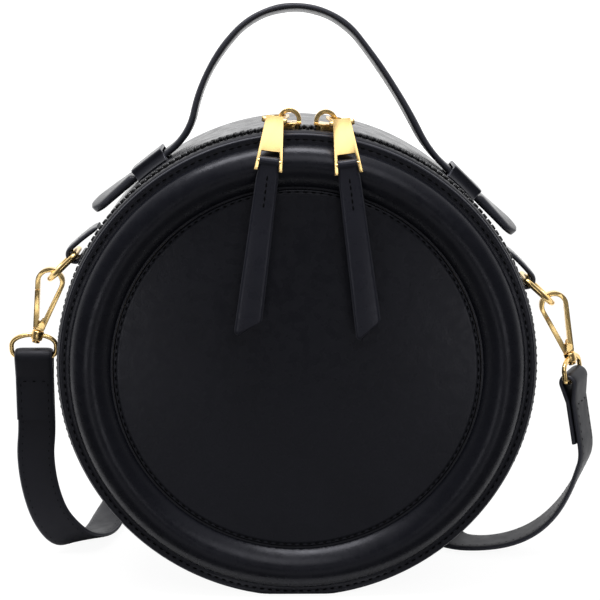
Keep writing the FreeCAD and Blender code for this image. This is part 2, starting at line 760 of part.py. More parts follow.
def add_clasp(side):
    """Hook, gate, rivet and spring of a swivel clasp, and the loop that it turns in."""
    name = SIDES[side]
    x, z = clasp_places[side]
    place = Vector(x, handle_y, z)
    lean = -side * clasp_leans[side]

    def set_up(shape):
        shape.rotate(ORIGIN, AXIS_Y, lean)
        shape.translate(place)
        return shape

    drop = drop_face(clasp_foot_half, clasp_foot, clasp_half)
    window = drop_face(clasp_web_half, clasp_web, clasp_half - clasp_wire)
    frame = drop.cut(window).extrude(Vector(0, clasp_thickness, 0))
    left = -clasp_half - overrun
    deep = clasp_thickness + 2 * overrun
    seat = clasp_foot + gate_slot_foot
    gate_side = -gate_split - gate_gap

    def swept(points, reach):
        """The part of an outline that the gate's end sweeps on its way about the rivet."""
        centre = Vector(rivet_side, -deep / 2, rivet_height)
        return slab(points, deep).common(Part.makeCylinder(reach, deep, centre, AXIS_Y))

    cut_zone = swept([
        (left, seat), (-gate_split, seat), (-gate_split, rivet_height), (gate_split_top, clasp_web),
        (0, clasp_web), (0, clasp_crown), (left, clasp_crown),
    ], gate_reach + gate_gap)
    keep_zone = swept([
        (left, seat + gate_gap), (gate_side, seat + gate_gap), (gate_side, clasp_web), (0, clasp_web),
        (0, clasp_crown), (left, clasp_crown),
    ], gate_reach)
    slot = block(left, rivet_side + gate_eye + rivet_gap, -gate_slot / 2, gate_slot / 2, seat,
                 clasp_web + rivet_gap)
    stem_low = clasp_foot - stem_length
    stem = Part.makeCylinder(stem_radius, stem_length, Vector(0, 0, stem_low))
    head = Part.makeCylinder(stem_head, stem_head_height, Vector(0, 0, stem_low - stem_head_height))
    half = clasp_thickness / 2
    shank = Part.makeCylinder(rivet_radius, clasp_thickness, Vector(rivet_side, -half, rivet_height), AXIS_Y)
    hook = fused([frame.cut(cut_zone).cut(slot), stem, head]).cut(shank)
    heads = [
        Part.makeCylinder(rivet_head, rivet_head_height, Vector(rivet_side, y, rivet_height), AXIS_Y)
        for y in (-half - rivet_head_height, half)
    ]
    rivet = fused([shank] + heads)

    lobe = Part.makeCylinder(gate_eye, gate_tongue, Vector(rivet_side, -gate_tongue / 2, rivet_height), AXIS_Y)
    tongue = block(2 * gate_side, rivet_side, -gate_tongue / 2, gate_tongue / 2, rivet_height - gate_eye,
                   rivet_height + gate_eye)
    eye = Part.makeCylinder(rivet_radius + rivet_gap, deep, Vector(rivet_side, -deep / 2, rivet_height), AXIS_Y)
    gate = fused([frame.common(keep_zone), tongue, lobe]).cut(eye)

    start = gate_tongue / 2 + layer_gap
    spring = Part.makeCylinder(spring_radius, spring_length, Vector(rivet_side, start, rivet_height), AXIS_Y)
    spring = spring.cut(eye)

    pieces["clasp_hook_" + name] = set_up(hook)
    pieces["clasp_gate_" + name] = set_up(gate)
    pieces["clasp_rivet_" + name] = set_up(rivet)
    pieces["clasp_spring_" + name] = set_up(spring)

    collar_low = clasp_foot - stem_length + collar_gap
    collar_high = clasp_foot - collar_gap
    collar = set_up(Part.makeCylinder(collar_radius, collar_high - collar_low, Vector(0, 0, collar_low)))
    bore = set_up(Part.makeCylinder(stem_radius + collar_bore_gap, stem_length + 2 * overrun,
                                    Vector(0, 0, clasp_foot - stem_length - overrun)))
    clear = set_up(Part.makeCylinder(stem_head + collar_bore_gap, stem_head_height + 2 * collar_gap,
                                     Vector(0, 0, collar_low - stem_head_height - 2 * collar_gap)))
    ring = rounded(loop_width, loop_height, loop_corner, loop_foot_corner)
    ring = ring.cut(rounded(loop_width - 2 * loop_wire, loop_height - 2 * loop_wire, loop_corner - loop_wire,
                            loop_foot_corner - loop_wire))
    ring = ring.extrude(Vector(0, loop_thickness, 0))
    ring.translate(Vector(loop_shifts[side], -loop_thickness / 2, loop_wire / 2 - loop_height / 2))
    ring = in_loop_frame(ring, side)
    pieces["swivel_loop_" + name] = fused([ring, collar]).cut(bore).cut(clear)


def rounded(width, height, corner, foot):
    """A rectangle about the origin in the XZ plane, with one corner radius above and another below."""
    x = width / 2
    z = height / 2
    bulge = 1 - math.sqrt(0.5)
    cut = corner * bulge
    low = foot * bulge
    return Part.Face(bent_wire([
        (Vector(foot - x, 0, -z),),
        (Vector(x - foot, 0, -z), Vector(x - low, 0, low - z)), (Vector(x, 0, foot - z),),
        (Vector(x, 0, z - corner), Vector(x - cut, 0, z - cut)), (Vector(x - corner, 0, z),),
        (Vector(corner - x, 0, z), Vector(cut - x, 0, z - cut)), (Vector(-x, 0, z - corner),),
        (Vector(-x, 0, foot - z), Vector(low - x, 0, low - z)),
    ]))


def in_loop_frame(shape, side):
    """Turn and tilt a piece of a strap's loop about the clasp's swivel, and take it there."""
    x, z = clasp_places[side]
    shape.rotate(ORIGIN, AXIS_Z, loop_turns[side])
    shape.rotate(ORIGIN, AXIS_Y, loop_tilts[side])
    shape.translate(Vector(x, handle_y, z))
    return shape


def strap_bar(side):
    """The middle of a loop's lower bar, about the clasp's swivel."""
    return Vector(loop_shifts[side], 0, loop_wire - loop_height)


def add_strap_end(side):
    """A strap's end, folded round its loop's bar; returns the single strap's start, next point and width."""
    bar = strap_bar(side)
    bore = math.hypot(loop_wire, loop_thickness) / 2 + layer_gap
    outer = bore + strap_thickness
    half = strap_width / 2
    fold = Part.makeCylinder(outer, strap_width, bar - Vector(half, 0, 0), AXIS_X)
    hole = Part.makeCylinder(bore, strap_width + 2 * overrun, bar - Vector(half + overrun, 0, 0), AXIS_X)
    low = bar.z - flap_length
    plies = block(bar.x - half, bar.x + half, -strap_thickness, strap_thickness, low, bar.z)
    end = fused([fold, plies]).cut(hole)
    pieces["strap_end_" + SIDES[side]] = in_loop_frame(end, side)
    depth = flap_sides[side] * strap_thickness / 2
    marks = [Vector(bar.x, depth, low), Vector(bar.x + half, depth, low), Vector(bar.x, depth, low - fold_lead)]
    start, edge, lead = (in_loop_frame(Part.Vertex(mark), side).Point for mark in marks)
    return start, lead, edge - start


def strap_wires(points, widths):
    """Cross-sections of a strap along straight runs joined by tangent arcs, with its width's direction given."""
    stations = [(points[0], points[1] - points[0], widths[0])]
    radii = []
    length = 0
    for before, here, after, w0, w1, w2 in zip(points, points[1:], points[2:], widths, widths[1:], widths[2:]):
        run_in = here - before
        run_out = after - here
        reach = arc_share * min(run_in.Length, run_out.Length)
        turn = run_in.getAngle(run_out)
        if turn < least_turn:
            stations.append((here, run_in, w1))
            continue
        radii.append(reach / math.tan(turn / 2))
        start = here - run_in * (reach / run_in.Length)
        end = here + run_out * (reach / run_out.Length)
        width_in = w1 + (w0 - w1) * (reach / run_in.Length)
        width_out = w1 + (w2 - w1) * (reach / run_out.Length)
        chord = start + (end - start) * 0.5
        middle = chord + (here - chord) * math.tan(turn / 4) / math.tan(turn / 2)
        arc = Part.Arc(start, middle, end).toShape()
        first, last = arc.ParameterRange
        for step in range(arc_steps + 1):
            share = step / arc_steps
            spot = first + (last - first) * share
            width = width_in + (width_out - width_in) * share
            stations.append((arc.valueAt(spot), arc.tangentAt(spot), width))
    stations.append((points[-1], points[-1] - points[-2], widths[-1]))
    wires = []
    for index, (spot, tangent, width) in enumerate(stations):
        along = Vector(tangent).normalize()
        across = (width - along * width.dot(along)).normalize() * (strap_width / 2)
        normal = along.cross(across).normalize() * (strap_thickness / 2)
        corners = [spot + across + normal, spot - across + normal, spot - across - normal, spot + across - normal]
        wires.append(Part.makePolygon(corners + corners[:1]))
        if index:
            length += (spot - stations[index - 1][0]).Length
    return wires, radii, length


def add_strap():
    """The shoulder strap: a run down each side, and the rest folded on edge into a hank behind the bag."""
    total = 0
    ends = {
        -1: Vector(-hank_run / 2, hank_y + (hank_runs - 1) * hank_pitch, tie_thickness + strap_width / 2),
        1: Vector(hank_first, hank_y, tie_thickness + strap_width / 2),
    }
    for side, route, widths in ((-1, left_route, left_widths), (1, right_route, right_widths)):
        name = SIDES[side]
        start, lead, width = add_strap_end(side)
        points = [start, lead] + [Vector(*point) for point in route]
        points += [ends[side] + Vector(side * hank_lead, 0, 0), ends[side]]
        width.normalize()
        directions = [width, width] + [Vector(*item) for item in widths] + [AXIS_Z, AXIS_Z]
        wires, radii, length = strap_wires(points, directions)
        run = Part.makeLoft(wires, True, True)
        pieces["strap_" + name + "_run"] = run
        total += length
        print(name, "run: length", round(length), "least radius", round(min(radii), 1),
              "volume over section times length", round(run.Volume / length / strap_width / strap_thickness, 3))

    solids = []
    spine = []
    half = strap_thickness / 2
    low = tie_thickness
    high = tie_thickness + strap_width
    for index in range(hank_runs):
        y = hank_y + index * hank_pitch
        right = hank_first if index == 0 else hank_run / 2
        solids.append(block(-hank_run / 2, right, y - half, y + half, low, high))
        steps = int((right + hank_run / 2) / strap_thickness)
        spine += [(index, Vector(-hank_run / 2 + step * strap_thickness, y, 0)) for step in range(steps)]
        total += right + hank_run / 2
        if index == hank_runs - 1:
            continue
        side = 1 if index % 2 else -1
        centre = Vector(side * hank_run / 2, y + hank_pitch / 2, low)
        bend = Part.makeCylinder(hank_pitch / 2 + half, strap_width, centre)
        bend = bend.cut(Part.makeCylinder(hank_pitch / 2 - half, strap_width, centre))
        past = centre.x - side * hank_pitch
        bend = bend.cut(block(min(past, centre.x), max(past, centre.x), y - hank_pitch, y + 2 * hank_pitch,
                              low, high))
        solids.append(bend)
        total += math.pi * hank_pitch / 2
    pieces["strap_hank"] = fused(solids)
    near = hank_y - half - tie_gap
    far = hank_y + (hank_runs - 1) * hank_pitch + half + tie_gap
    inside = block(-tie_width / 2 - overrun, tie_width / 2 + overrun, near, far, low, high + tie_gap)
    band = block(-tie_width / 2, tie_width / 2, near - tie_thickness, far + tie_thickness, 0,
                 high + tie_gap + tie_thickness)
    pieces["strap_tie"] = band.cut(inside)
    gap = min((a - b).Length for i, a in spine for j, b in spine if i != j) - strap_thickness
    print("strap: whole length", round(total), "hank: least gap to itself", round(gap, 2))


add_panel("front", -1)
add_panel("rear", 1)
add_gusset()
add_zip()
for each in SIDES:
    add_slider(each)
    add_pull(each)
    add_ring(each)
    add_clasp(each)
add_handle()
add_strap()

os.makedirs("parts", exist_ok=True)
for node, shape in pieces.items():
    shape.exportStep("parts/" + node + ".step")
print(len(pieces), "nodes")
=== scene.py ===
import json
import math

import bmesh
import bpy
import numpy as np
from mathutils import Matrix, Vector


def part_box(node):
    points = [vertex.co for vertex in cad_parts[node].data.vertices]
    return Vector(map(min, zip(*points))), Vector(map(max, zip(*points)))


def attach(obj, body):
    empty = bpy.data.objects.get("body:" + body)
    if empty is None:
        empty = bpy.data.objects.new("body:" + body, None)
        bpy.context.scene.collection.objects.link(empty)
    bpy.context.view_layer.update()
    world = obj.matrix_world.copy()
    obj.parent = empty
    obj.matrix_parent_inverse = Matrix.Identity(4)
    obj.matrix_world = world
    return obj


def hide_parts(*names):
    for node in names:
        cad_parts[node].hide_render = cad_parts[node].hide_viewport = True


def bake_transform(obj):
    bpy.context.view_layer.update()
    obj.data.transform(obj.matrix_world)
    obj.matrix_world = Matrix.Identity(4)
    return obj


# A round black leather bag with a top handle, gold fittings and a clip-on shoulder strap.
# Metres, +Z up, the front faces -Y, angles run clockwise from the top of the bag as seen from the front.
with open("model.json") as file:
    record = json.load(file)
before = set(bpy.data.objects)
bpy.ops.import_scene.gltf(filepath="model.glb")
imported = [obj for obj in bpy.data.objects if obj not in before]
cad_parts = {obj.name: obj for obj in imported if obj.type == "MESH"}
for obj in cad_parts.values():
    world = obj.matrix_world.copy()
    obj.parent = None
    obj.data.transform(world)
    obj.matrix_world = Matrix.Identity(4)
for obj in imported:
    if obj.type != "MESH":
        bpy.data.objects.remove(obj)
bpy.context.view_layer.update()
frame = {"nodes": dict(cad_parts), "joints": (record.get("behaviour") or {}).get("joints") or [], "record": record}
joints = {joint["name"]: joint for joint in frame["joints"]}
bodies = frame["record"]["behaviour"]["bodies"]
home = {cad_node: body for body, cad_nodes in bodies.items() for cad_node in cad_nodes}
SIDES = {"left": -1, "right": 1}
PANELS = {"front": -1, "rear": 1}

# Bag body, read from the frame
half_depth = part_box("gusset")[1].y
gusset_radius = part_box("gusset")[1].x
inlay_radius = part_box("front_inlay")[1].x
bag_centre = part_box("front_inlay")[1].z - inlay_radius
inlay_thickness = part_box("rear_inlay")[1].y - half_depth
panel_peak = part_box("rear_panel")[1].y - half_depth

# Panels and side wall
panel_radius = 0.095
bag_roll = math.radians(3.4)          # the zip, the handle and the rings stand turned by this
leather = 0.0012
edge_share = 0.93                     # of a strap's half width, past which its edge takes the edge paint, drawn lighter as a painted highlight
margin_width = 0.0042
margin_thickness = 0.0016
edge_round = 0.0008
ring_width = 0.0166
ring_crest_share = 0.47
ring_fullness = {-1: 0.65, 1: 0.9}    # of the hump's outer and inner slopes
groove_width = 0.0008
inlay_edge = 0.0009
inlay_crown = 0.0004
margin_row = 0.0024                   # stitch rows, from the edge that they follow
inlay_row = 0.0010
stitch_dip = 0.00018
seam_drop = 0.0010                    # how far the gusset rolls in at its two seams
seam_reach = 0.0011
wall_swell = 0.00022                  # height of the slow waves in the side wall

# Zip
zip_inset = 0.0108                    # from the front flange to the middle of the zip
zip_y = zip_inset - half_depth
zip_half = math.radians(112)
slot_half = 0.0066
slot_roll = 0.0005
slot_row = 0.00192
slot_fade = 0.04                      # in radians, over which the slot's rolled edge dies out past its ends
tape_edge = 0.0013
tape_width = 0.0077
tape_outer = 0.0949
tape_thickness = 0.0006
tape_bead = 0.0003
tooth_pitch = 0.0014
tooth_thickness = 0.0011
tooth_length = 0.0035
tooth_reach = 0.0005
tooth_foot = 0.09495
tooth_top = 0.09685
stop_room = 0.0036
slider_shift = -0.0016                # the two sliders' middle from the top of the rolled bag
slider_nose = 0.0024
post_end = 0.0028
part_width = 0.0017
part_length = 0.0036

# Pull tabs
tab_thickness = 0.0024
tab_length = 0.0695
tab_slant = 0.006
tab_top_half = 0.0038
tab_shoulder_half = 0.0043
tab_end_half = 0.0054
tab_neck_length = 0.0054
tab_corner = 0.0022
tab_eye = 0.00145
tab_wall = 0.0009
tab_bow = 0.0006
tab_row_start = 0.001                 # the stitches, from the end of the neck
tab_row_end = 0.0115

# Handle
handle_y = 0.009
handle_width = 0.015
handle_thickness = 0.0034
handle_gap = 0.0003
handle_rise = 0.1415
handle_bow = 0.0334
handle_turns = {-1: math.radians(31), 1: math.radians(11)}
handle_sway = -0.0005
handle_seen = 0.0028                  # the strap's thickness where its faces are pressed by the stitching
handle_root = 0.020
root_steps = 12
handle_lean = math.radians(8)
keeper_angle = math.radians(41)
keeper_length = 0.0164
keeper_wall = 0.0014
keeper_foot = 0.003
keeper_room = 0.0007
keeper_seen = 0.0146                  # the loop inside its stitched edges
tongue_length = 0.0205
tongue_thickness = 0.0042
tongue_round = 0.005
tongue_tip_thickness = 0.0032
tongue_tip_round = 0.0012
tongue_tip_half = 0.000548
tongue_twist = math.radians(13)       # the tip is turned towards the front by this angle
tongue_gap = 0.0009
tongue_lifts = {-1: math.radians(7), 1: math.radians(9)}

# Rings and their tabs
ring_tab_angle = math.radians(69.7)
ring_tab_thickness = 0.0021
ring_tab_curl = 0.00305               # middle of the leather from the middle of the ring's bar
ring_tab_width = 0.014
ring_tab_strip = 0.014
ring_tab_gap = 0.00005
ring_tab_end = math.radians(-125)     # where the leather ends behind the bar
ring_wire = 0.0025
ring_half = 0.0088
ring_length = 0.016
ring_corner = 0.0016
ring_drops = {-1: math.radians(44.2), 1: math.radians(42.2)}

# Shoulder strap and its loops
clasp_places = {-1: (-0.1095, 0.0986), 1: (0.1165, 0.0885)}
loop_turns = {-1: 0.0, 1: math.radians(61)}
loop_tilts = {-1: 0.0, 1: math.radians(-10)}
loop_shifts = {-1: -0.0017, 1: 0.0}
loop_bar = 0.0098                     # from the swivel down to the middle of a loop's bar
loop_width = 0.0208
loop_wire = 0.0020
loop_power = 0.92                     # of the oval's upper half, and of its flatter lower half
loop_foot_power = 0.5
collar_radius = 0.0025
collar_round = 0.0005
collar_bore = 0.0011
collar_low = -0.0022
collar_high = 0.0020
strap_width = 0.016
strap_thickness = 0.0024
fold_radius = 0.00293
fold_neck = 0.0085
neck_row = 0.0100                     # the row sewn across a folded end, below the bar
flap_length = 0.027
fold_lead = 0.006
flap_sides = {-1: 1, 1: -1}
hank_run = 0.144
hank_pitch = 0.0075
hank_first = 0.042
hank_y = 0.066
hank_z = 0.0086
hank_lead = 0.016
tie_thickness = 0.0006
tie_width = 0.012

# Thread
thread_width = 0.00058
stitch_length = 0.0022
stitch_pitch = 0.0032
strap_row = 0.0023                    # from a strap's edge


def linear(code):
    """An sRGB hex colour as linear red, green, blue and alpha."""
    parts = np.array([int(code[place:place + 2], 16) for place in (1, 3, 5)]) / 255
    level = np.where(parts <= 0.04045, parts / 12.92, ((parts + 0.055) / 1.055) ** 2.4)
    return (*level.tolist(), 1.0)


def node(tree, kind, inputs=(), **settings):
    """Add a shader node with its settings; each input is a (socket, value or linked output) pair."""
    made = tree.nodes.new(kind)
    for key, value in settings.items():
        setattr(made, key, value)
    for key, value in inputs:
        if isinstance(value, bpy.types.NodeSocket):
            tree.links.new(value, made.inputs[key])
        else:
            made.inputs[key].default_value = value
    return made


def new_finish(name):
    """An empty material, its node tree, and its Object coordinates."""
    finish = bpy.data.materials.new(name)
    finish.use_nodes = True
    finish.node_tree.nodes.clear()
    place = node(finish.node_tree, "ShaderNodeTexCoord").outputs["Object"]
    return finish, finish.node_tree, place


def pressed_calf(name, dark, light, smooth, rough):
    """Dyed calf, pressed smooth: nearly black, with a cool satin gloss that pores and a faint grain break.

    The real pores are about 0.2 mm; they are drawn at 0.7 mm so that they show.
    """
    pore = 0.0007
    tumble = 0.0045
    cloud = 0.024
    finish, tree, place = new_finish(name)
    tone = node(tree, "ShaderNodeTexNoise", [("Vector", place), ("Scale", 1 / cloud), ("Detail", 5.0)])
    pores = node(tree, "ShaderNodeTexVoronoi", [("Vector", place), ("Scale", 1 / pore)])
    creases = node(tree, "ShaderNodeTexNoise", [("Vector", place), ("Scale", 1 / tumble), ("Detail", 6.0)])
    colour = node(tree, "ShaderNodeMix", [(0, tone.outputs["Fac"]), (6, linear(dark)), (7, linear(light))],
                  data_type="RGBA")
    gloss = node(tree, "ShaderNodeMapRange", [
        ("Value", creases.outputs["Fac"]), ("From Min", 0.3), ("From Max", 0.7), ("To Min", smooth),
        ("To Max", rough)])
    fine = node(tree, "ShaderNodeBump", [("Height", pores.outputs["Distance"]), ("Strength", 0.22),
                                         ("Distance", 0.00006)])
    wide = node(tree, "ShaderNodeBump", [("Height", creases.outputs["Fac"]), ("Strength", 0.25),
                                         ("Distance", 0.00025), ("Normal", fine.outputs["Normal"])])
    shader = node(tree, "ShaderNodeBsdfPrincipled", [
        ("Base Color", colour.outputs[2]), ("Roughness", gloss.outputs["Result"]), ("IOR", 1.5),
        ("Specular IOR Level", 0.27), ("Specular Tint", linear("#f4f4ff")),
        ("Normal", wide.outputs["Normal"])])
    node(tree, "ShaderNodeOutputMaterial", [("Surface", shader.outputs["BSDF"])])
    return finish


def plated_gold():
    """Light gold plate on polished zinc: a clear mirror with hair scratches and slightly duller patches."""
    patch = 0.006
    scratch = 0.0012
    finish, tree, place = new_finish("gold_plated_zinc")
    cloud = node(tree, "ShaderNodeTexNoise", [("Vector", place), ("Scale", 1 / patch), ("Detail", 4.0)])
    drawn = node(tree, "ShaderNodeMapping", [("Vector", place), ("Scale", (9.0, 1.0, 1.0))])
    hair = node(tree, "ShaderNodeTexNoise", [("Vector", drawn.outputs["Vector"]), ("Scale", 1 / scratch),
                                             ("Detail", 3.0)])
    colour = node(tree, "ShaderNodeMix", [(0, cloud.outputs["Fac"]), (6, linear("#e8c37e")),
                                          (7, linear("#f5d596"))], data_type="RGBA")
    gloss = node(tree, "ShaderNodeMapRange", [("Value", cloud.outputs["Fac"]), ("From Min", 0.3),
                                              ("From Max", 0.7), ("To Min", 0.17), ("To Max", 0.27)])
    relief = node(tree, "ShaderNodeBump", [("Height", hair.outputs["Fac"]), ("Strength", 0.08),
                                           ("Distance", 0.00005)])
    shader = node(tree, "ShaderNodeBsdfPrincipled", [
        ("Base Color", colour.outputs[2]), ("Metallic", 1.0), ("Roughness", gloss.outputs["Result"]),
        ("Normal", relief.outputs["Normal"])])
    node(tree, "ShaderNodeOutputMaterial", [("Surface", shader.outputs["BSDF"])])
    return finish


def drawn_steel():
    """Drawn spring steel: grey, with fine lines along the wire."""
    line = 0.0003
    finish, tree, place = new_finish("drawn_spring_steel")
    lines = node(tree, "ShaderNodeTexNoise", [("Vector", place), ("Scale", 1 / line), ("Detail", 2.0)])
    gloss = node(tree, "ShaderNodeMapRange", [("Value", lines.outputs["Fac"]), ("To Min", 0.25),
                                              ("To Max", 0.4)])
    shader = node(tree, "ShaderNodeBsdfPrincipled", [
        ("Base Color", linear("#b9b8b4")), ("Metallic", 1.0), ("Roughness", gloss.outputs["Result"])])
    node(tree, "ShaderNodeOutputMaterial", [("Surface", shader.outputs["BSDF"])])
    return finish


def moulded_acetal():
    """Injection-moulded acetal: dense black plastic with a soft waxy gloss and slight flow marks."""
    mark = 0.0015
    finish, tree, place = new_finish("moulded_acetal")
    flow = node(tree, "ShaderNodeTexNoise", [("Vector", place), ("Scale", 1 / mark), ("Detail", 3.0)])
    colour = node(tree, "ShaderNodeMix", [(0, flow.outputs["Fac"]), (6, linear("#08090b")),
                                          (7, linear("#111216"))], data_type="RGBA")
    gloss = node(tree, "ShaderNodeMapRange", [("Value", flow.outputs["Fac"]), ("To Min", 0.4),
                                              ("To Max", 0.55)])
    shader = node(tree, "ShaderNodeBsdfPrincipled", [
        ("Base Color", colour.outputs[2]), ("Roughness", gloss.outputs["Result"]), ("IOR", 1.48),
        ("Specular IOR Level", 0.2)])
    node(tree, "ShaderNodeOutputMaterial", [("Surface", shader.outputs["BSDF"])])
    return finish


def woven_cloth(name, dark, light, spacing):
    """Plain-woven polyester with a dry sheen: one set of round threads round the bag and one across it.

    The height is the product of a wave along the turn and a wave along the depth; the threads are drawn about
    twice as coarse as they are, so that they show.
    """
    finish, tree, place = new_finish(name)
    parts = node(tree, "ShaderNodeSeparateXYZ", [("Vector", place)])
    above = node(tree, "ShaderNodeMath", [(0, parts.outputs["Z"]), (1, bag_centre)], operation="SUBTRACT")
    turn = node(tree, "ShaderNodeMath", [(0, parts.outputs["X"]), (1, above.outputs[0])], operation="ARCTAN2")
    around = node(tree, "ShaderNodeMath", [(0, turn.outputs[0]), (1, tape_outer * math.tau / spacing)],
                  operation="MULTIPLY")
    across = node(tree, "ShaderNodeMath", [(0, parts.outputs["Y"]), (1, math.tau / spacing)],
                  operation="MULTIPLY")
    warp = node(tree, "ShaderNodeMath", [(0, around.outputs[0])], operation="SINE")
    weft = node(tree, "ShaderNodeMath", [(0, across.outputs[0])], operation="SINE")
    weave = node(tree, "ShaderNodeMath", [(0, warp.outputs[0]), (1, weft.outputs[0])], operation="MULTIPLY")
    share = node(tree, "ShaderNodeMapRange", [("Value", weave.outputs[0]), ("From Min", -1.0)])
    # The colour follows the weave's height: painted shade in its hollows and a painted highlight on the thread
    # crowns.
    colour = node(tree, "ShaderNodeMix", [(0, share.outputs["Result"]), (6, linear(dark)),
                                          (7, linear(light))], data_type="RGBA")
    relief = node(tree, "ShaderNodeBump", [("Height", share.outputs["Result"]), ("Strength", 0.6),
                                           ("Distance", spacing / 4)])
    shader = node(tree, "ShaderNodeBsdfPrincipled", [
        ("Base Color", colour.outputs[2]), ("Roughness", 0.8), ("Sheen Weight", 0.15),
        ("Normal", relief.outputs["Normal"])])
    node(tree, "ShaderNodeOutputMaterial", [("Surface", shader.outputs["BSDF"])])
    return finish


def waxed_thread():
    """Waxed polyester thread: black, twisted, and dull beside the leather. Its colour is drawn darker than the
    leather, as painted shade of the stitch holes, so a row reads as dark dashes.
    """
    twist = 0.0006
    finish, tree, place = new_finish("waxed_thread")
    ply = node(tree, "ShaderNodeTexWave", [("Vector", place), ("Scale", 1 / twist / math.tau),
                                           ("Distortion", 1.5)], bands_direction="DIAGONAL")
    # Painted shade: the black thread is drawn darker than the leather, for the shade in its holes.
    colour = node(tree, "ShaderNodeMix", [(0, ply.outputs["Fac"]), (6, linear("#020203")),
                                          (7, linear("#060708"))], data_type="RGBA")
    relief = node(tree, "ShaderNodeBump", [("Height", ply.outputs["Fac"]), ("Strength", 0.4),
                                           ("Distance", 0.0001)])
    shader = node(tree, "ShaderNodeBsdfPrincipled", [
        ("Base Color", colour.outputs[2]), ("Roughness", 0.8), ("Specular IOR Level", 0.08),
        ("Normal", relief.outputs["Normal"])])
    node(tree, "ShaderNodeOutputMaterial", [("Surface", shader.outputs["BSDF"])])
    return finish


def stiffener(name, dark, light, grain):
    """Pressed fibre board: a dull, speckled filler that the leather hides."""
    finish, tree, place = new_finish(name)
    speck = node(tree, "ShaderNodeTexNoise", [("Vector", place), ("Scale", 1 / grain), ("Detail", 3.0)])
    colour = node(tree, "ShaderNodeMix", [(0, speck.outputs["Fac"]), (6, linear(dark)), (7, linear(light))],
                  data_type="RGBA")
    relief = node(tree, "ShaderNodeBump", [("Height", speck.outputs["Fac"]), ("Strength", 0.3),
                                           ("Distance", grain / 4)])
    shader = node(tree, "ShaderNodeBsdfPrincipled", [
        ("Base Color", colour.outputs[2]), ("Roughness", 0.85), ("Normal", relief.outputs["Normal"])])
    node(tree, "ShaderNodeOutputMaterial", [("Surface", shader.outputs["BSDF"])])
    return finish


calf = pressed_calf("pressed_calf", "#0f1015", "#181920", 0.22, 0.34)
# The tabs' leather is drawn lighter and bluer than the bag's: a painted sheen.
tab_calf_painted_sheen = pressed_calf("tab_calf_with_painted_sheen", "#191a21", "#272831", 0.24, 0.34)
calf_strap = pressed_calf("tumbled_calf", "#0b0c11", "#13141b", 0.44, 0.54)
# Edge paint on the cut edges, drawn lighter grey than the leather: a painted highlight for the light that glances
# off them.
edge_paint_with_highlight = pressed_calf("calf_edge_paint_with_painted_highlight", "#2a2b31", "#36373e", 0.30, 0.40)
thread = waxed_thread()
gold = plated_gold()
steel = drawn_steel()
acetal = moulded_acetal()
tape = woven_cloth("woven_zip_tape", "#08090b", "#17181b", 0.0009)
cloth = woven_cloth("woven_lining", "#1a1a1c", "#2b2b2e", 0.0008)
board = stiffener("fibre_board", "#6d655a", "#857c6f", 0.0015)


def polar(radius, y, angle):
    """Points at a radius and an angle clockwise from the top, about the bag's axis, at a depth."""
    radius, y, angle = np.broadcast_arrays(radius, y, angle)
    return np.stack([radius * np.sin(angle), y, bag_centre + radius * np.cos(angle)], axis=-1)


def on_gusset(along, height, y, angle, side):
    """Points at a length along the gusset, downwards from an angle on one side, and a height above it."""
    return polar(gusset_radius + height, y, angle + side * np.asarray(along) / gusset_radius)


def ease(value):
    """A smooth step from 0 to 1."""
    value = np.clip(value, 0, 1)
    return value ** 2 * (3 - 2 * value)


def powered(value, power):
    """A value's size raised to a power, with its sign kept."""
    return np.sign(value) * np.abs(value) ** power


def unit(vectors):
    """Vectors scaled to a length of 1."""
    return vectors / np.linalg.norm(vectors, axis=-1, keepdims=True)


def turned_about(points, origin, axis, angle):
    """Points turned about an axis through an origin, each by its own angle, by Rodrigues' formula."""
    axis = unit(np.array(axis, float))
    arm = points - np.array(origin)
    angle = np.asarray(angle)[..., None]
    along = axis * (arm @ axis)[..., None]
    return origin + along + (arm - along) * np.cos(angle) + np.cross(axis, arm) * np.sin(angle)


def part_of(grid, wrap_rows=False, wrap_columns=True, finish=0):
    """Points, quads, finish numbers and end caps of a grid that is joined round where it wraps."""
    rows, columns = grid.shape[:2]
    index = np.arange(rows * columns).reshape(rows, columns)
    ends = [] if wrap_rows or not wrap_columns else [index[0].tolist(), index[-1].tolist()]
    if wrap_rows:
        index = np.vstack([index, index[:1]])
    if wrap_columns:
        index = np.hstack([index, index[:, :1]])
    quads = np.stack([index[:-1, :-1], index[:-1, 1:], index[1:, 1:], index[1:, :-1]], axis=-1)
    marks = np.broadcast_to(finish, quads.shape[:2]).ravel()
    return grid.reshape(-1, 3), quads.reshape(-1, 4), marks, ends


def copies_of(grids, finish=0):
    """The part of many small grids of the same size, each closed round its columns and capped."""
    points, quads, _, ends = part_of(grids[0], finish=finish)
    shift = np.arange(len(grids)) * len(points)
    caps = (np.array(ends)[None] + shift[:, None, None]).reshape(-1, len(ends[0]))
    quads = (quads[None] + shift[:, None, None]).reshape(-1, 4)
    return grids.reshape(-1, 3), quads, np.full(len(quads), finish), caps.tolist()


def stitches(spots, along, out, finish=1, proud=0.5):
    """A row of stitches: pills whose middles stand proud and whose ends dive into the leather."""
    share = np.linspace(-1, 1, 5)[:, None]
    turn = np.linspace(0, math.tau, 6, endpoint=False)
    swell = np.sqrt(1 - 0.8 * share ** 2)
    forward = share * stitch_length / 2 + 0 * turn
    sideways = swell * np.cos(turn) * thread_width / 2
    upward = (swell * np.sin(turn) + proud - 1.2 * share ** 2) * thread_width / 2
    spots, along, out = (np.asarray(item)[:, None, None] for item in (spots, along, out))
    beside = np.cross(along, out)
    grids = (spots + along * forward[None, :, :, None] + beside * sideways[None, :, :, None]
             + out * upward[None, :, :, None])
    return copies_of(grids, finish)


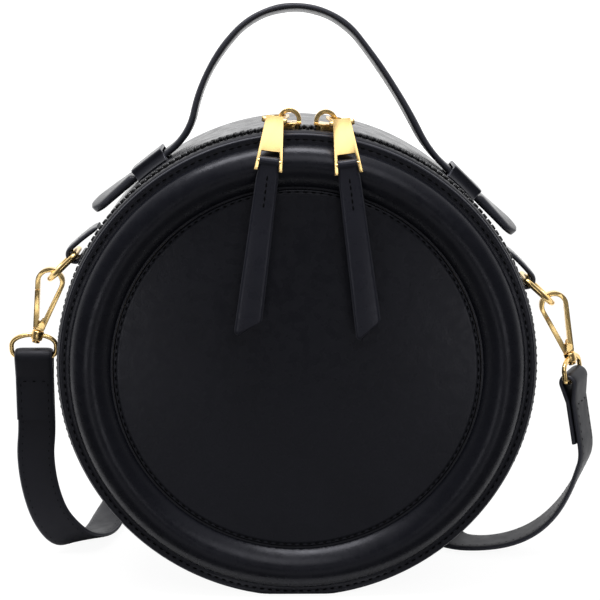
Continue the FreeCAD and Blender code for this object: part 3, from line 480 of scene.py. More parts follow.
def row_along(line, out, proud=0.1):
    """Stitches at an even pitch along a line of points, standing on the directions given at those points."""
    steps = np.linalg.norm(np.diff(line, axis=0), axis=1)
    walk = np.concatenate([[0], np.cumsum(steps)])
    count = max(int(walk[-1] / stitch_pitch), 1)
    spots = (np.arange(count) + 0.5) * walk[-1] / count

    def at(values, places):
        return np.stack([np.interp(places, walk, values[:, axis]) for axis in range(3)], axis=-1)

    along = unit(at(line, spots + stitch_pitch / 4) - at(line, spots - stitch_pitch / 4))
    return stitches(at(line, spots), along, unit(at(out, spots)), 1, proud)


def even_turn(radius):
    """The angles of the stitches that fit round a circle at their pitch."""
    count = int(math.tau * radius / stitch_pitch)
    return np.arange(count) * math.tau / count


def row_round(radius, y, turn, out, finish=1):
    """Stitches at angles about the bag's axis, at a radius and a depth, standing on the directions given."""
    spots = polar(radius, y, turn)
    spots[:, 2] = np.maximum(spots[:, 2], thread_width)
    along = np.stack([np.cos(turn), 0 * turn, -np.sin(turn)], axis=-1)
    return stitches(spots, along, np.broadcast_to(out, along.shape), finish)


def strip(centres, across, half_width, half_thickness, squareness=8.0, columns=28, wrap=False, edge=1):
    """A strap: a superellipse section, |x|^squareness + |y|^2 = 1, carried along a path.

    Returns its part, with the edge's finish where the section is steep, and its section directions.
    """
    if wrap:
        ahead = np.roll(centres, -1, axis=0) - np.roll(centres, 1, axis=0)
    else:
        ahead = np.gradient(centres, axis=0)
    along = unit(ahead)
    across = np.broadcast_to(across, centres.shape)
    across = unit(across - along * (across * along).sum(axis=1, keepdims=True))
    out = np.cross(across, along)
    turn = (np.arange(columns) + 0.5) * math.tau / columns
    x = powered(np.cos(turn), 2 / squareness)
    y = np.sin(turn)
    wide = np.broadcast_to(half_width, len(centres))[:, None, None]
    thick = np.broadcast_to(half_thickness, len(centres))[:, None, None]
    grid = (centres[:, None] + across[:, None] * x[None, :, None] * wide
            + out[:, None] * y[None, :, None] * thick)
    # Steep faces take the edge finish; on leather it is edge paint drawn lighter, a painted highlight.
    steep = np.abs(x + np.roll(x, -1)) / 2 > edge_share
    return part_of(grid, wrap_rows=wrap, finish=np.where(steep, edge, 0)), along, across, out


def make(name, parts, finishes, body, replaces=(), sharp=50):
    """One piece from its parts, with faces turned outwards; it rides on a body unless that is None."""
    starts = np.cumsum([0] + [len(part[0]) for part in parts])
    points = np.concatenate([part[0] for part in parts])
    quads = np.concatenate([part[1] + start for part, start in zip(parts, starts)])
    caps = [[corner + int(start) for corner in cap] for part, start in zip(parts, starts) for cap in part[3]]
    marks = np.concatenate([part[2] for part in parts] + [
        np.full(len(part[3]), part[2][0]) for part in parts])
    mesh = bpy.data.meshes.new(name)
    mesh.from_pydata(points.tolist(), [], quads.tolist() + caps)
    mesh.polygons.foreach_set("material_index", marks.astype(np.int32))
    return place_mesh(name, mesh, finishes, body, replaces, sharp)


def place_mesh(name, mesh, finishes, body, replaces, sharp):
    """Turn a mesh's faces outwards, smooth it, and make it a piece with its finishes."""
    work = bmesh.new()
    work.from_mesh(mesh)
    bmesh.ops.recalc_face_normals(work, faces=work.faces)
    work.to_mesh(mesh)
    work.free()
    mesh.shade_smooth()
    mesh.set_sharp_from_angle(angle=math.radians(sharp))
    for finish in finishes:
        mesh.materials.append(finish)
    piece = bpy.data.objects.new(name, mesh)
    bpy.context.scene.collection.objects.link(piece)
    if replaces:
        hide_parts(*replaces)
    if body:
        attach(piece, body)
    return piece


def softened(cad_node, width, finish):
    """A copy of a CAD node with its flat faces joined up and its hard edges rounded off."""
    hard_angle = math.radians(28)
    flat_angle = math.radians(1)
    merge = 0.000001
    work = bmesh.new()
    work.from_mesh(frame["nodes"][cad_node].data)
    bmesh.ops.remove_doubles(work, verts=work.verts, dist=merge)
    bmesh.ops.dissolve_limit(work, angle_limit=flat_angle, verts=work.verts, edges=work.edges)
    hard = [edge for edge in work.edges if len(edge.link_faces) == 2 and edge.calc_face_angle(0) > hard_angle]
    bmesh.ops.bevel(work, geom=hard, offset=width, offset_type="OFFSET", segments=3, profile=0.5,
                    affect="EDGES", clamp_overlap=True)
    mesh = bpy.data.meshes.new(cad_node + "_soft")
    work.to_mesh(mesh)
    work.free()
    return place_mesh(cad_node + "_soft", mesh, [finish], home[cad_node], [cad_node], 35)


def padded_ring(name, side):
    """Skin of a panel's padded ring: a closed profile of inset and height, turned about the bag's axis.

    From the edge inwards: a quarter round, a flat margin that dips along its stitches, then a hump of height
    (1 - u^2)^fullness on each side of its crest. Slow waves in the hump are the hand-filled padding.
    """
    angle = np.linspace(0, math.tau, 360, endpoint=False)
    quarter = np.linspace(0, math.pi / 2, 5)
    flat = np.linspace(edge_round, margin_width, 12)[1:]
    u = -np.cos(np.linspace(0, math.pi, 45))[1:]
    outer = u < 0
    place = np.where(outer, ring_crest_share * (1 + u), ring_crest_share + (1 - ring_crest_share) * u)
    base = np.where(outer, margin_thickness, leather)
    fullness = np.where(outer, ring_fullness[-1], ring_fullness[1])
    hump = (panel_peak - base) * np.abs(1 - u ** 2) ** fullness
    inner = margin_width + ring_width + groove_width
    inset = np.concatenate([
        [0], edge_round * (1 - np.cos(quarter)), flat, margin_width + ring_width * place, [inner, inner]])
    dip = stitch_dip * np.exp(-((flat - margin_row) / thread_width) ** 2)
    still = np.concatenate([
        [0], margin_thickness - edge_round * (1 - np.sin(quarter)), margin_thickness - dip, base,
        [leather, 0]])
    lift = np.concatenate([np.zeros(1 + len(quarter) + len(flat)), hump, np.zeros(2)])
    wave = 1 + 0.02 * np.sin(5 * angle + 1) + 0.014 * np.sin(11 * angle + side)
    height = still[:, None] + lift[:, None] * wave
    grid = polar(panel_radius - inset[:, None], side * (half_depth + height), angle)
    grid[..., 2] = np.maximum(grid[..., 2], 0)
    # The quarter round at the edge takes the lighter edge paint, a painted highlight.
    edge = np.where(np.arange(len(inset)) < 4, 1, 0)[:, None]
    ring = part_of(grid, wrap_rows=True, finish=edge)
    radius = panel_radius - margin_row
    row = row_round(radius, side * (half_depth + margin_thickness - stitch_dip), even_turn(radius),
                    (0.0, float(side), 0.0), 2)
    piece = make(name + "_ring", [ring, row], [calf, edge_paint_with_highlight, thread], "bag",
                 [name + "_panel", name + "_ring_foam"])


def inlay(name, side):
    """A panel's inner disc: a slightly crowned face with a rounded rim and a groove for its stitches."""
    angle = np.linspace(0, math.tau, 240, endpoint=False)
    radius = inlay_radius * np.concatenate([np.linspace(0.05, 0.94, 20), np.linspace(0.945, 0.9985, 26)])
    rim = inlay_radius - radius
    height = inlay_thickness + inlay_crown * (1 - (radius / inlay_radius) ** 2)
    height -= stitch_dip * np.exp(-((rim - inlay_row) / thread_width) ** 2)
    height -= inlay_edge * (1 - np.sqrt(1 - np.clip(1 - rim / inlay_edge, 0, 1) ** 3))
    radius = np.concatenate([radius, [inlay_radius, inlay_radius, radius[0]]])
    height = np.concatenate([height, [inlay_thickness - inlay_edge, 0, 0]])
    grid = polar(radius[:, None], side * (half_depth + height[:, None]), angle)
    sewn = inlay_radius - inlay_row
    row = row_round(sewn, side * (half_depth + inlay_thickness - stitch_dip), even_turn(sewn),
                    (0.0, float(side), 0.0))
    make(name + "_disc", [part_of(grid), row], [calf, thread], "bag", [name + "_inlay"])


def gusset_wall():
    """The side wall: strips of leather before and behind the zip and a piece below it, each a closed shell.

    The outer radius rolls in at the two panel seams and along the zip's slot, and swells in slow waves.
    """
    slot_front = zip_y - slot_half
    slot_rear = zip_y + slot_half

    def shell(y, angle):
        drop = seam_drop * np.exp(-(half_depth - np.abs(y)) / seam_reach)
        beside = np.minimum(np.abs(y - slot_front), np.abs(y - slot_rear))
        from_top = np.abs(np.remainder(angle - bag_roll + math.pi, math.tau) - math.pi)
        in_slot = ease((zip_half + slot_fade / 2 - from_top) / slot_fade)
        roll_in = slot_roll * np.exp(-beside / seam_reach) * in_slot
        swell = wall_swell * np.sin(4 * angle + 0.5) * np.cos(y / half_depth * math.pi / 2)
        outer = polar(gusset_radius - drop - roll_in + swell, y, angle)
        inner = polar(gusset_radius - drop - leather + swell, y, angle)
        outer[..., 2] = np.maximum(outer[..., 2], 0)
        inner[..., 2] = np.maximum(inner[..., 2], leather)
        return np.concatenate([outer, inner[::-1]])

    whole = np.linspace(0, math.tau, 360, endpoint=False)
    spread = 0.5 - 0.5 * np.cos(np.linspace(0, math.pi, 40))
    front = -half_depth + (slot_front + half_depth) * spread[::3]
    rear = slot_rear + (half_depth - slot_rear) * spread
    below = np.linspace(bag_roll + zip_half, bag_roll + math.tau - zip_half, 140)
    middle = np.linspace(slot_front, slot_rear, 13)
    parts = [
        part_of(shell(front[:, None], whole), wrap_rows=True, finish=2),
        part_of(shell(rear[:, None], whole), wrap_rows=True),
        part_of(np.swapaxes(shell(middle[:, None], below), 0, 1)),
    ]
    count = int(2 * zip_half * gusset_radius / stitch_pitch)
    turn = bag_roll + (np.arange(count) - count / 2) * 2 * zip_half / count
    out = np.stack([np.sin(turn), 0 * turn, np.cos(turn)], axis=-1)
    for y in (slot_front - slot_row, slot_rear + slot_row):
        parts.append(row_round(gusset_radius - 2 * stitch_dip, y, turn, out))
    make("gusset_wall", parts, [calf, thread, calf_strap], "bag", ["gusset"])


def zip_chain():
    """Woven tapes, and two rows of teeth: superellipsoids along the zip, parted between the sliders."""
    angle = np.linspace(bag_roll - zip_half, bag_roll + zip_half, 220)
    for name, side in PANELS.items():
        near = zip_y + side * tape_edge
        y = near + side * tape_width * np.array([0, 0.02, 0.06, 0.1, 0.4, 0.7, 1.0])
        bead = tape_bead * np.array([-1, 2, 3, 0, 0, 0, 0]) / 3
        outer = polar(tape_outer + bead, y, angle[:, None])
        inner = polar(tape_outer - tape_thickness, y, angle[:, None])
        band = part_of(np.concatenate([outer, inner[:, ::-1]], axis=1))
        make("zip_" + name + "_woven_tape", [band], [tape], "bag", ["zip_" + name + "_tape"])

    step = tooth_pitch / tooth_top
    room = zip_half - stop_room / tooth_foot
    count = int(2 * room / step)
    index = np.arange(count)
    row = np.where(index % 2, -1, 1)
    angle = bag_roll + (index - (count - 1) / 2) * step
    open_to = slider_nose + post_end + tooth_thickness / 2
    away = np.abs((angle - bag_roll) * tooth_top - slider_shift)
    shift = part_width * (1 - ease((away - open_to) / part_length))
    y = zip_y + row * (shift - tooth_reach + tooth_length / 2)
    tilt = np.linspace(-1.35, 1.35, 6)[:, None]
    turn = np.linspace(0, math.tau, 10, endpoint=False)
    square = 0.45
    ring = np.cos(tilt) ** square
    thick = ring * powered(np.cos(turn), square) * tooth_thickness / 2
    tall = ring * powered(np.sin(turn), square) * (tooth_top - tooth_foot) / 2
    long = powered(np.sin(tilt), square) * tooth_length / 2 + 0 * turn
    middle = (tooth_top + tooth_foot) / 2
    grids = polar(middle + tall[None], y[:, None, None] + long[None],
                  angle[:, None, None] + thick[None] / middle)
    for name, side in PANELS.items():
        make("zip_" + name + "_row", [copies_of(grids[row == side])], [acetal], "bag",
             ["zip_" + name + "_teeth"])


def pull_tab(name):
    """A pull's leather tab, folded round its bar: flat sections that widen towards a slanted, rounded end."""
    joint = joints["tab_" + name + "_lift"]
    bar = np.array(joint["pos_m"])
    right = -np.array(joint["axis"])
    up = np.cross(right, (0, 1, 0))
    share = np.concatenate([np.linspace(0, 0.94, 40), np.linspace(0.945, 1, 14)])
    down = share * tab_length
    neck = ease((down - tab_neck_length * 0.6) / (tab_neck_length * 0.5))
    half = tab_top_half + (tab_shoulder_half - tab_top_half) * neck
    half = half + (tab_end_half - tab_shoulder_half) * np.clip((down - tab_neck_length) / tab_length, 0, 1)
    last = np.clip((down - tab_length + tab_corner) / tab_corner, 0, 1)
    half = half - tab_corner * (1 - np.sqrt(1 - 0.98 * last ** 2))
    turn = (np.arange(30) + 0.5) * math.tau / 30
    flat = powered(np.cos(turn), 0.25)
    slant = 1 - (1 + flat) / 2 * tab_slant / tab_length
    x = half[:, None] * flat
    thick = tab_thickness / 2 * np.sqrt(1 - 0.9 * last ** 6)[:, None] * np.sin(turn)
    bow = tab_bow * np.sin(share * math.pi)[:, None]
    grid = bar + x[..., None] * right + (thick - bow)[..., None] * np.array((0, 1, 0))
    grid = grid - (down[:, None] * slant)[..., None] * up
    # The tab's steep edges take the lighter edge paint, a painted highlight.
    steep = np.abs(flat + np.roll(flat, -1)) / 2 > edge_share
    sheet = part_of(grid, finish=np.where(steep, 2, 0))
    curl = np.linspace(0, math.tau, 28, endpoint=False)
    eye = bar + tab_eye * (np.cos(curl)[:, None] * np.array((0, 1, 0)) + np.sin(curl)[:, None] * up)
    fold = strip(eye, right, tab_top_half, tab_wall / 2, wrap=True, edge=2)[0]
    spots = tab_neck_length + np.linspace(tab_row_start, tab_row_end, 5)
    rise = tab_thickness / 2 + tab_bow * np.sin(spots / tab_length * math.pi)
    rows = []
    for face in (-1, 1):
        seat = rise if face < 0 else tab_thickness - rise
        line = bar - spots[:, None] * up + (face * seat)[:, None] * np.array((0, 1, 0))
        along = np.broadcast_to(-up, line.shape)
        out = np.broadcast_to((0.0, float(face), 0.0), line.shape)
        rows.append(stitches(line, along, out))
    # The tab's lighter leather is a painted sheen.
    make("tab_" + name + "_leather", [sheet, fold] + rows, [tab_calf_painted_sheen, thread, edge_paint_with_highlight], "tab_" + name,
         ["pull_tab_" + name])


def handle_half(side):
    """One half of the handle's line in the XZ plane, from its keeper to the apex, and each point's lean.

    A root arc leaves the gusset along its tangent, the leg is a wider arc that bows outwards, and the top is
    a circle. The slope where root and leg meet is found by repeating: each pass aims the leg from the end of
    the root at its place on the circle.
    """
    strap_middle = gusset_radius + handle_gap + handle_thickness / 2
    start = keeper_angle - keeper_length / 2 / gusset_radius + side * bag_roll
    exit_x = side * handle_sway - strap_middle * math.sin(start)
    exit_z = bag_centre + strap_middle * math.cos(start)
    centre_z = bag_centre + handle_rise - handle_bow
    turn = handle_turns[side]
    slope = start + turn
    for _ in range(40):
        radius = handle_root / max(slope - start, handle_root / handle_rise)
        end_x = exit_x + radius * (math.sin(slope) - math.sin(start))
        end_z = exit_z + radius * (math.cos(start) - math.cos(slope))
        step_x = -handle_bow * math.sin(slope - turn) - end_x
        step_z = centre_z + handle_bow * math.cos(slope - turn) - end_z
        slope = math.atan2(step_z, step_x) + turn / 2
    leg_radius = math.hypot(step_x, step_z) / 2 / math.sin(turn / 2)
    share = np.linspace(0, 1, root_steps + 1)
    root = start + (slope - start) * share
    leg = slope - turn * np.linspace(0, 1, 24)[1:-1]
    bow = (slope - turn) * np.linspace(1, 0, 30)
    x = np.concatenate([exit_x + radius * (np.sin(root) - math.sin(start)),
                        end_x - leg_radius * (np.sin(leg) - math.sin(slope)), -handle_bow * np.sin(bow)])
    z = np.concatenate([exit_z + radius * (math.cos(start) - np.cos(root)),
                        end_z + leg_radius * (np.cos(leg) - math.cos(slope)),
                        centre_z + handle_bow * np.cos(bow)])
    lean = np.concatenate([share, np.ones(len(leg) + len(bow))])
    return np.stack([handle_sway - side * x, np.full(len(x), handle_y), z], axis=-1), lean


def handle():
    """The handle's strap: a section carried along its two halves and leant back about its hinge line."""
    left, lean_left = handle_half(-1)
    right, lean_right = handle_half(1)
    centres = np.concatenate([left, right[-2::-1]])
    lean = -handle_lean * np.concatenate([lean_left, lean_right[-2::-1]])
    hinge = joints["handle_swing"]
    centres = turned_about(centres, hinge["pos_m"], hinge["axis"], lean)
    across = turned_about(np.broadcast_to((0.0, 1.0, 0.0), centres.shape), (0, 0, 0), hinge["axis"], lean)
    walk = np.linspace(0, 1, len(centres))
    thick = handle_seen / 2 * (1 + 0.035 * np.sin(walk * 31) + 0.025 * np.sin(walk * 57 + 1))
    body, _, across, out = strip(centres, across, handle_width / 2, thick, edge=2)
    parts = [body]
    for edge in (-1, 1):
        for face in (-1, 1):
            line = centres + across * edge * (handle_width / 2 - strap_row)
            line = line + out * face * (thick[:, None] * 0.93 - stitch_dip)
            parts.append(row_along(line, out * face))
    piece = make("handle_leather", parts, [calf, thread, edge_paint_with_highlight], None,
                 ["handle_strap", "handle_root_left", "handle_root_right"])
    upright = np.cross((0, 1, 0), hinge["axis"])
    upright = upright * np.sign(upright[2])
    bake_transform(piece)


def handle_end(name, side):
    """A handle's end: it runs through its keeper, thickens into a tongue and lifts off to a round tip."""
    angle = bag_roll + side * keeper_angle
    start = keeper_length / 2 + tongue_gap
    reach = start + tongue_length
    along = np.concatenate([np.linspace(-keeper_length / 2, reach - tongue_round, 40),
                            reach - tongue_round * np.cos(np.linspace(0, math.pi / 2, 16))[1:]])
    past = np.maximum(along - start, 0)
    swell = ease((along - start + tongue_gap) / tongue_gap / 2)
    thick = handle_seen / 2 + (tongue_thickness - handle_seen) / 2 * swell
    thick = thick - (tongue_thickness - tongue_tip_thickness) / 2 * past / tongue_length
    lift = past * math.tan(tongue_lifts[side]) + past ** 2 / (2 * gusset_radius)
    tip_radius = ((handle_width / 2) ** 2 + tongue_round ** 2) / (2 * tongue_round)
    tip = np.maximum(along - (reach - tip_radius), 0)
    narrow = np.sqrt(np.maximum(tip_radius ** 2 - tip ** 2, tongue_tip_half ** 2))
    wide = np.where(along > reach - tongue_round, narrow, handle_width / 2)
    centres = on_gusset(along, handle_gap + thick + lift, handle_y, angle, side)
    last = np.clip((along - reach + tongue_tip_round) / tongue_tip_round, 0, 1)
    thick = thick * np.sqrt(1 - 0.7 * last ** 4)
    outward = unit(centres - (0, handle_y, bag_centre))
    twist = (tongue_twist * past / tongue_length)[:, None]
    width = np.cos(twist) * np.array((0.0, 1.0, 0.0)) + np.sin(twist) * outward
    body = strip(centres, width, wide, thick)[0]
    make("handle_end_" + name + "_leather", [body], [calf, edge_paint_with_highlight], "bag",
         ["handle_end_" + name])


def keeper(name, side):
    """A keeper: a stiff leather loop over the handle's end, with thin feet beside a superellipse arch.

    The roof is straight along the handle: its height grows by the gusset's sagitta.
    """
    angle = bag_roll + side * keeper_angle
    share = np.concatenate([[-1, -0.985, -0.95], np.linspace(-0.88, 0.88, 15), [0.95, 0.985, 1]])
    rim = np.array([0.7, 0.9, 0.98] + [1] * 15 + [0.98, 0.9, 0.7])
    inner_half = handle_width / 2 + handle_gap
    inner_roof = handle_gap + handle_seen + keeper_room
    turn = np.linspace(math.pi, 0, 41)

    def arch(half, roof):
        y = half * powered(np.cos(turn), 0.2)
        return y, roof * np.abs(np.sin(turn)) ** 0.24

    inside_y, inside = arch(inner_half, inner_roof)
    outside_y, outside = arch(inner_half + keeper_wall, inner_roof + keeper_wall)
    foot = inner_half + keeper_wall + keeper_foot
    foot_y = foot * np.array([-1, -1, -0.97])
    foot_height = keeper_wall * np.array([0.0, 0.3, 0.4])
    y = np.concatenate([foot_y, outside_y[1:-1], -foot_y[::-1], inside_y[::-1]])
    height = np.concatenate([foot_height, np.maximum(outside[1:-1], foot_height[2]), foot_height[::-1],
                             inside[::-1]])
    wall = np.concatenate([np.ones(len(foot_y) * 2 + len(outside_y) - 2), np.zeros(len(inside_y))])
    height = np.where(wall[None] > 0, height - keeper_wall * 0.5 * (1 - rim[:, None]), height)
    along = share[:, None] * keeper_seen / 2
    straight = along ** 2 / (2 * gusset_radius) * (height > keeper_wall / 2)
    grid = on_gusset(along, height + straight, handle_y + y, angle, side)
    # The keeper's lips take the lighter edge paint, a painted highlight.
    lip = (np.abs(share[:-1] + share[1:]) / 2 > edge_share)[:, None] & (wall[None] > 0)
    parts = [part_of(grid, finish=np.where(lip, 2, 0))]
    spots = np.linspace(-0.42, 0.42, 5) * keeper_seen
    for edge in (-1, 1):
        line = on_gusset(spots, foot_height[2], handle_y + edge * (foot - keeper_foot / 2), angle, side)
        out = unit(line - (0, handle_y + edge * (foot - keeper_foot / 2), bag_centre))
        ahead = unit(np.gradient(line, axis=0))
        parts.append(stitches(line, ahead, out))
    make("keeper_" + name + "_leather", parts, [calf, thread, edge_paint_with_highlight], "bag",
         ["handle_keeper_" + name])


def ring_tab(name, side):
    """A ring's leather tab: sewn to the gusset at its top, it climbs to the bar and goes round it."""
    angle = bag_roll + side * ring_tab_angle
    middle = ring_tab_thickness / 2 + ring_tab_gap
    centre = middle + ring_tab_curl
    first = math.pi / 2 + 2 * math.atan(ring_tab_curl / ring_tab_strip)
    curl = np.linspace(first, ring_tab_end, 40)
    climb = np.linspace(0, 1, 14)[:-1]
    down = np.concatenate([(ring_tab_curl * math.cos(first) + ring_tab_strip) * climb - ring_tab_strip,
                           ring_tab_curl * np.cos(curl)])
    height = np.concatenate([middle + (centre + ring_tab_curl * math.sin(first) - middle) * climb,
                             centre + ring_tab_curl * np.sin(curl)])
    centres = on_gusset(down, height, handle_y, angle, side)
    thick = np.full(len(down), ring_tab_thickness / 2)
    thick[:3] = ring_tab_thickness / 2 * np.array([0.55, 0.85, 0.97])
    thick[-4:] = ring_tab_thickness / 2 * np.array([0.97, 0.9, 0.75, 0.5])
    body, _, across, out = strip(centres, (0.0, 1.0, 0.0), ring_tab_width / 2, thick, edge=2)
    out = out * np.sign((out[5] * (centres[5] - (0, handle_y, bag_centre))).sum())
    sewn = slice(2, 11)
    parts = [body]
    for edge in (-1, 1):
        line = centres + across * edge * (ring_tab_width / 2 - strap_row)
        line = line + out * (thick[:, None] * 0.95 - stitch_dip)
        parts.append(row_along(line[sewn], out[sewn]))
    make("ring_tab_" + name + "_leather", parts, [calf, thread, edge_paint_with_highlight], "bag",
         ["ring_tab_" + name])


def d_ring(name, side):
    """A D-ring of round wire, hanging outwards: a bar with round corners, two limbs and a half-circle bow."""
    straight = ring_length - ring_half
    bar = np.linspace(-1, 1, 9) * (ring_half - ring_corner)
    corner = np.linspace(0, math.pi / 2, 7)
    bow = np.linspace(math.pi / 2, -math.pi / 2, 33)
    limb = np.linspace(ring_corner, straight, 6)[1:-1]
    round_x = ring_corner * (1 - np.cos(corner))
    round_y = ring_half - ring_corner + ring_corner * np.sin(corner)
    reach = np.concatenate([0 * bar, round_x[1:], limb, straight + ring_half * np.cos(bow), limb[::-1],
                            round_x[::-1][:-1]])
    y = np.concatenate([bar, round_y[1:], 0 * limb + ring_half, ring_half * np.sin(bow), 0 * limb - ring_half,
                        -round_y[::-1][:-1]])
    drop = ring_drops[side]
    heading = np.array((side * math.cos(drop), 0, -math.sin(drop)))
    pin = np.array(joints["ring_" + name + "_swing"]["pos_m"])
    centres = pin + reach[:, None] * heading + y[:, None] * np.array((0, 1, 0))
    normal = np.cross(heading, (0, 1, 0))
    half = ring_wire / 2
    wire = strip(centres, normal, half, half, squareness=2.0, columns=16, wrap=True, edge=0)[0]
    make("d_ring_" + name + "_wire", [wire], [gold], "ring_" + name, ["d_ring_" + name])


def loop_place(points, side):
    """Points given about a clasp's swivel, turned and tilted as its strap loop is, and taken there."""
    points = np.asarray(points, float)
    points = turned_about(points, (0, 0, 0), (0, 0, 1), np.full(len(points), loop_turns[side]))
    points = turned_about(points, (0, 0, 0), (0, 1, 0), np.full(len(points), loop_tilts[side]))
    x, z = clasp_places[side]
    return points + (x, handle_y, z)


def swivel_loop(name, side):
    """A strap's loop: round wire on an oval, flatter at the strap's bar, below a collar about the swivel."""
    turn = np.linspace(0, math.tau, 96, endpoint=False)
    power = np.where(np.sin(turn) < 0, loop_foot_power, loop_power)
    half = (loop_width - loop_wire) / 2
    x = loop_shifts[side] + half * powered(np.cos(turn), power)
    z = loop_bar / 2 * (powered(np.sin(turn), power) - 1)
    centres = loop_place(np.stack([x, 0 * x, z], axis=-1), side)
    facing = loop_place([(0, 0, 0), (0, 1, 0)], side)
    wire = strip(centres, facing[1] - facing[0], loop_wire / 2, loop_wire / 2, squareness=2.0, columns=16,
                 wrap=True, edge=0)[0]
    swivel = joints["clasp_" + name + "_swivel"]
    axis = unit(np.array(swivel["axis"], float))
    ahead = np.array((0.0, 1.0, 0.0))
    rim = collar_radius - collar_round * np.array([1, 0.3, 0, 0, 0.3, 1])
    radius = np.concatenate([[collar_bore], rim, [collar_bore]])
    ends = collar_round * np.array([0, 0, 0.3, 1])
    height = np.concatenate([collar_low + ends, (collar_high - ends)[::-1]])
    spin = np.linspace(0, math.tau, 32, endpoint=False)[:, None, None]
    around = np.cos(spin) * np.cross(axis, ahead) + np.sin(spin) * ahead
    collar = np.array(swivel["pos_m"]) + height[None, :, None] * axis + radius[None, :, None] * around
    make("swivel_loop_" + name + "_wire", [wire, part_of(collar, wrap_rows=True)], [gold], "bag",
         ["swivel_loop_" + name])


def strap_end(name, side):
    """A strap's end: up one ply, round the loop's bar and down the other, with a row sewn across the neck."""
    ply = strap_thickness / 2
    away = math.hypot(ply, fold_neck)
    touch = math.atan2(-fold_neck, -ply) - math.acos(fold_radius / away)
    arc = np.linspace(touch + math.tau, math.pi - touch - math.tau, 31)
    leg = np.linspace(-flap_length, -fold_neck, 8)
    tangent = np.linspace(0, 1, 6)[1:-1]
    foot_y = -ply + (fold_radius * math.cos(touch) + ply) * tangent
    foot_z = -fold_neck + (fold_radius * math.sin(touch) + fold_neck) * tangent
    y = np.concatenate([np.full(8, -ply), foot_y, fold_radius * np.cos(arc), -foot_y[::-1], np.full(8, ply)])
    z = np.concatenate([leg, foot_z, fold_radius * np.sin(arc), foot_z[::-1], leg[::-1]])
    centres = np.stack([np.full(len(y), loop_shifts[side]), y, z - loop_bar], axis=-1)
    turned = loop_place(centres, side)
    facing = loop_place([(0, 0, 0), (1, 0, 0), (0, 1, 0)], side)
    width = unit(facing[1] - facing[0])
    depth = unit(facing[2] - facing[0])
    parts = [strip(turned, width, strap_width / 2, ply, edge=2)[0]]
    seat = 2 * ply - stitch_dip
    spots = np.linspace(-0.5, 0.5, 3) * strap_width / 2
    sewn = np.linspace(-flap_length, -neck_row, 8)
    for face in (-1, 1):
        marks = [(loop_shifts[side] + spot, face * seat, -neck_row - loop_bar) for spot in spots]
        line = loop_place(marks, side)
        out = np.broadcast_to(face * depth, line.shape)
        parts.append(stitches(line, np.broadcast_to(width, line.shape), out))
        for edge in (-1, 1):
            inset = edge * (strap_width / 2 - strap_row) + loop_shifts[side]
            marks = [(inset, face * seat, height - loop_bar) for height in sewn]
            line = loop_place(marks, side)
            parts.append(row_along(line, np.broadcast_to(face * depth, line.shape)))
    return make("strap_end_" + name + "_leather", parts, [calf_strap, thread, edge_paint_with_highlight], "bag",
                ["strap_end_" + name])


def spline_points(control, steps=10):
    """Points along a NURBS spline of order 3 that has a route's points as its control points."""
    curve = bpy.data.curves.new("route", "CURVE")
    curve.dimensions = "3D"
    curve.resolution_u = steps
    spline = curve.splines.new("NURBS")
    spline.points.add(len(control) - 1)
    spline.points.foreach_set("co", np.column_stack([control, np.ones(len(control))]).ravel())
    spline.order_u = 3
    spline.use_endpoint_u = True
    holder = bpy.data.objects.new("route", curve)
    mesh = bpy.data.meshes.new_from_object(holder)
    line = np.empty(len(mesh.vertices) * 3)
    mesh.vertices.foreach_get("co", line)
    bpy.data.objects.remove(holder)
    bpy.data.meshes.remove(mesh)
    bpy.data.curves.remove(curve)
    return line.reshape(-1, 3)


# The strap's two runs, from a folded end to the hank: points and width directions, as in the part's source
left_run = [
    ((-0.1124, 0.0100, 0.0455), (1, 0, 0)), ((-0.1108, 0.0092, 0.0310), (1, 0, 0)),
    ((-0.1066, 0.0088, 0.0176), (1, 0.05, 0.1)), ((-0.1000, 0.0106, 0.0086), (0.95, 0.1, 0.3)),
    ((-0.0934, 0.0185, 0.0040), (0.95, -0.1, 0.25)), ((-0.0875, 0.0350, 0.0019), (0.95, -0.3, 0.03)),
    ((-0.0855, 0.0520, 0.0036), (0.97, -0.2, 0.15)), ((-0.0870, 0.0660, 0.0076), (0.6, -0.1, 0.75)),
    ((-0.0885, 0.0800, 0.0088), (0, 0, 1)),
]
right_run = [
    ((0.1227, 0.0098, 0.0390), (0.38, 0.92, 0)), ((0.1192, 0.0108, 0.0295), (0.26, 0.96, 0)),
    ((0.1134, 0.0118, 0.0190), (0.16, 0.98, 0)), ((0.1048, 0.0128, 0.0102), (0.1, 1, 0)),
    ((0.0940, 0.0138, 0.0048), (0.08, 1, 0)), ((0.0810, 0.0154, 0.0023), (0.15, 1, 0)),
    ((0.0690, 0.0190, 0.0023), (0.45, 0.9, 0.1)), ((0.0605, 0.0290, 0.0074), (0.5, 0.3, 0.75)),
    ((0.0576, 0.0430, 0.0088), (0, 0, 1)),
]


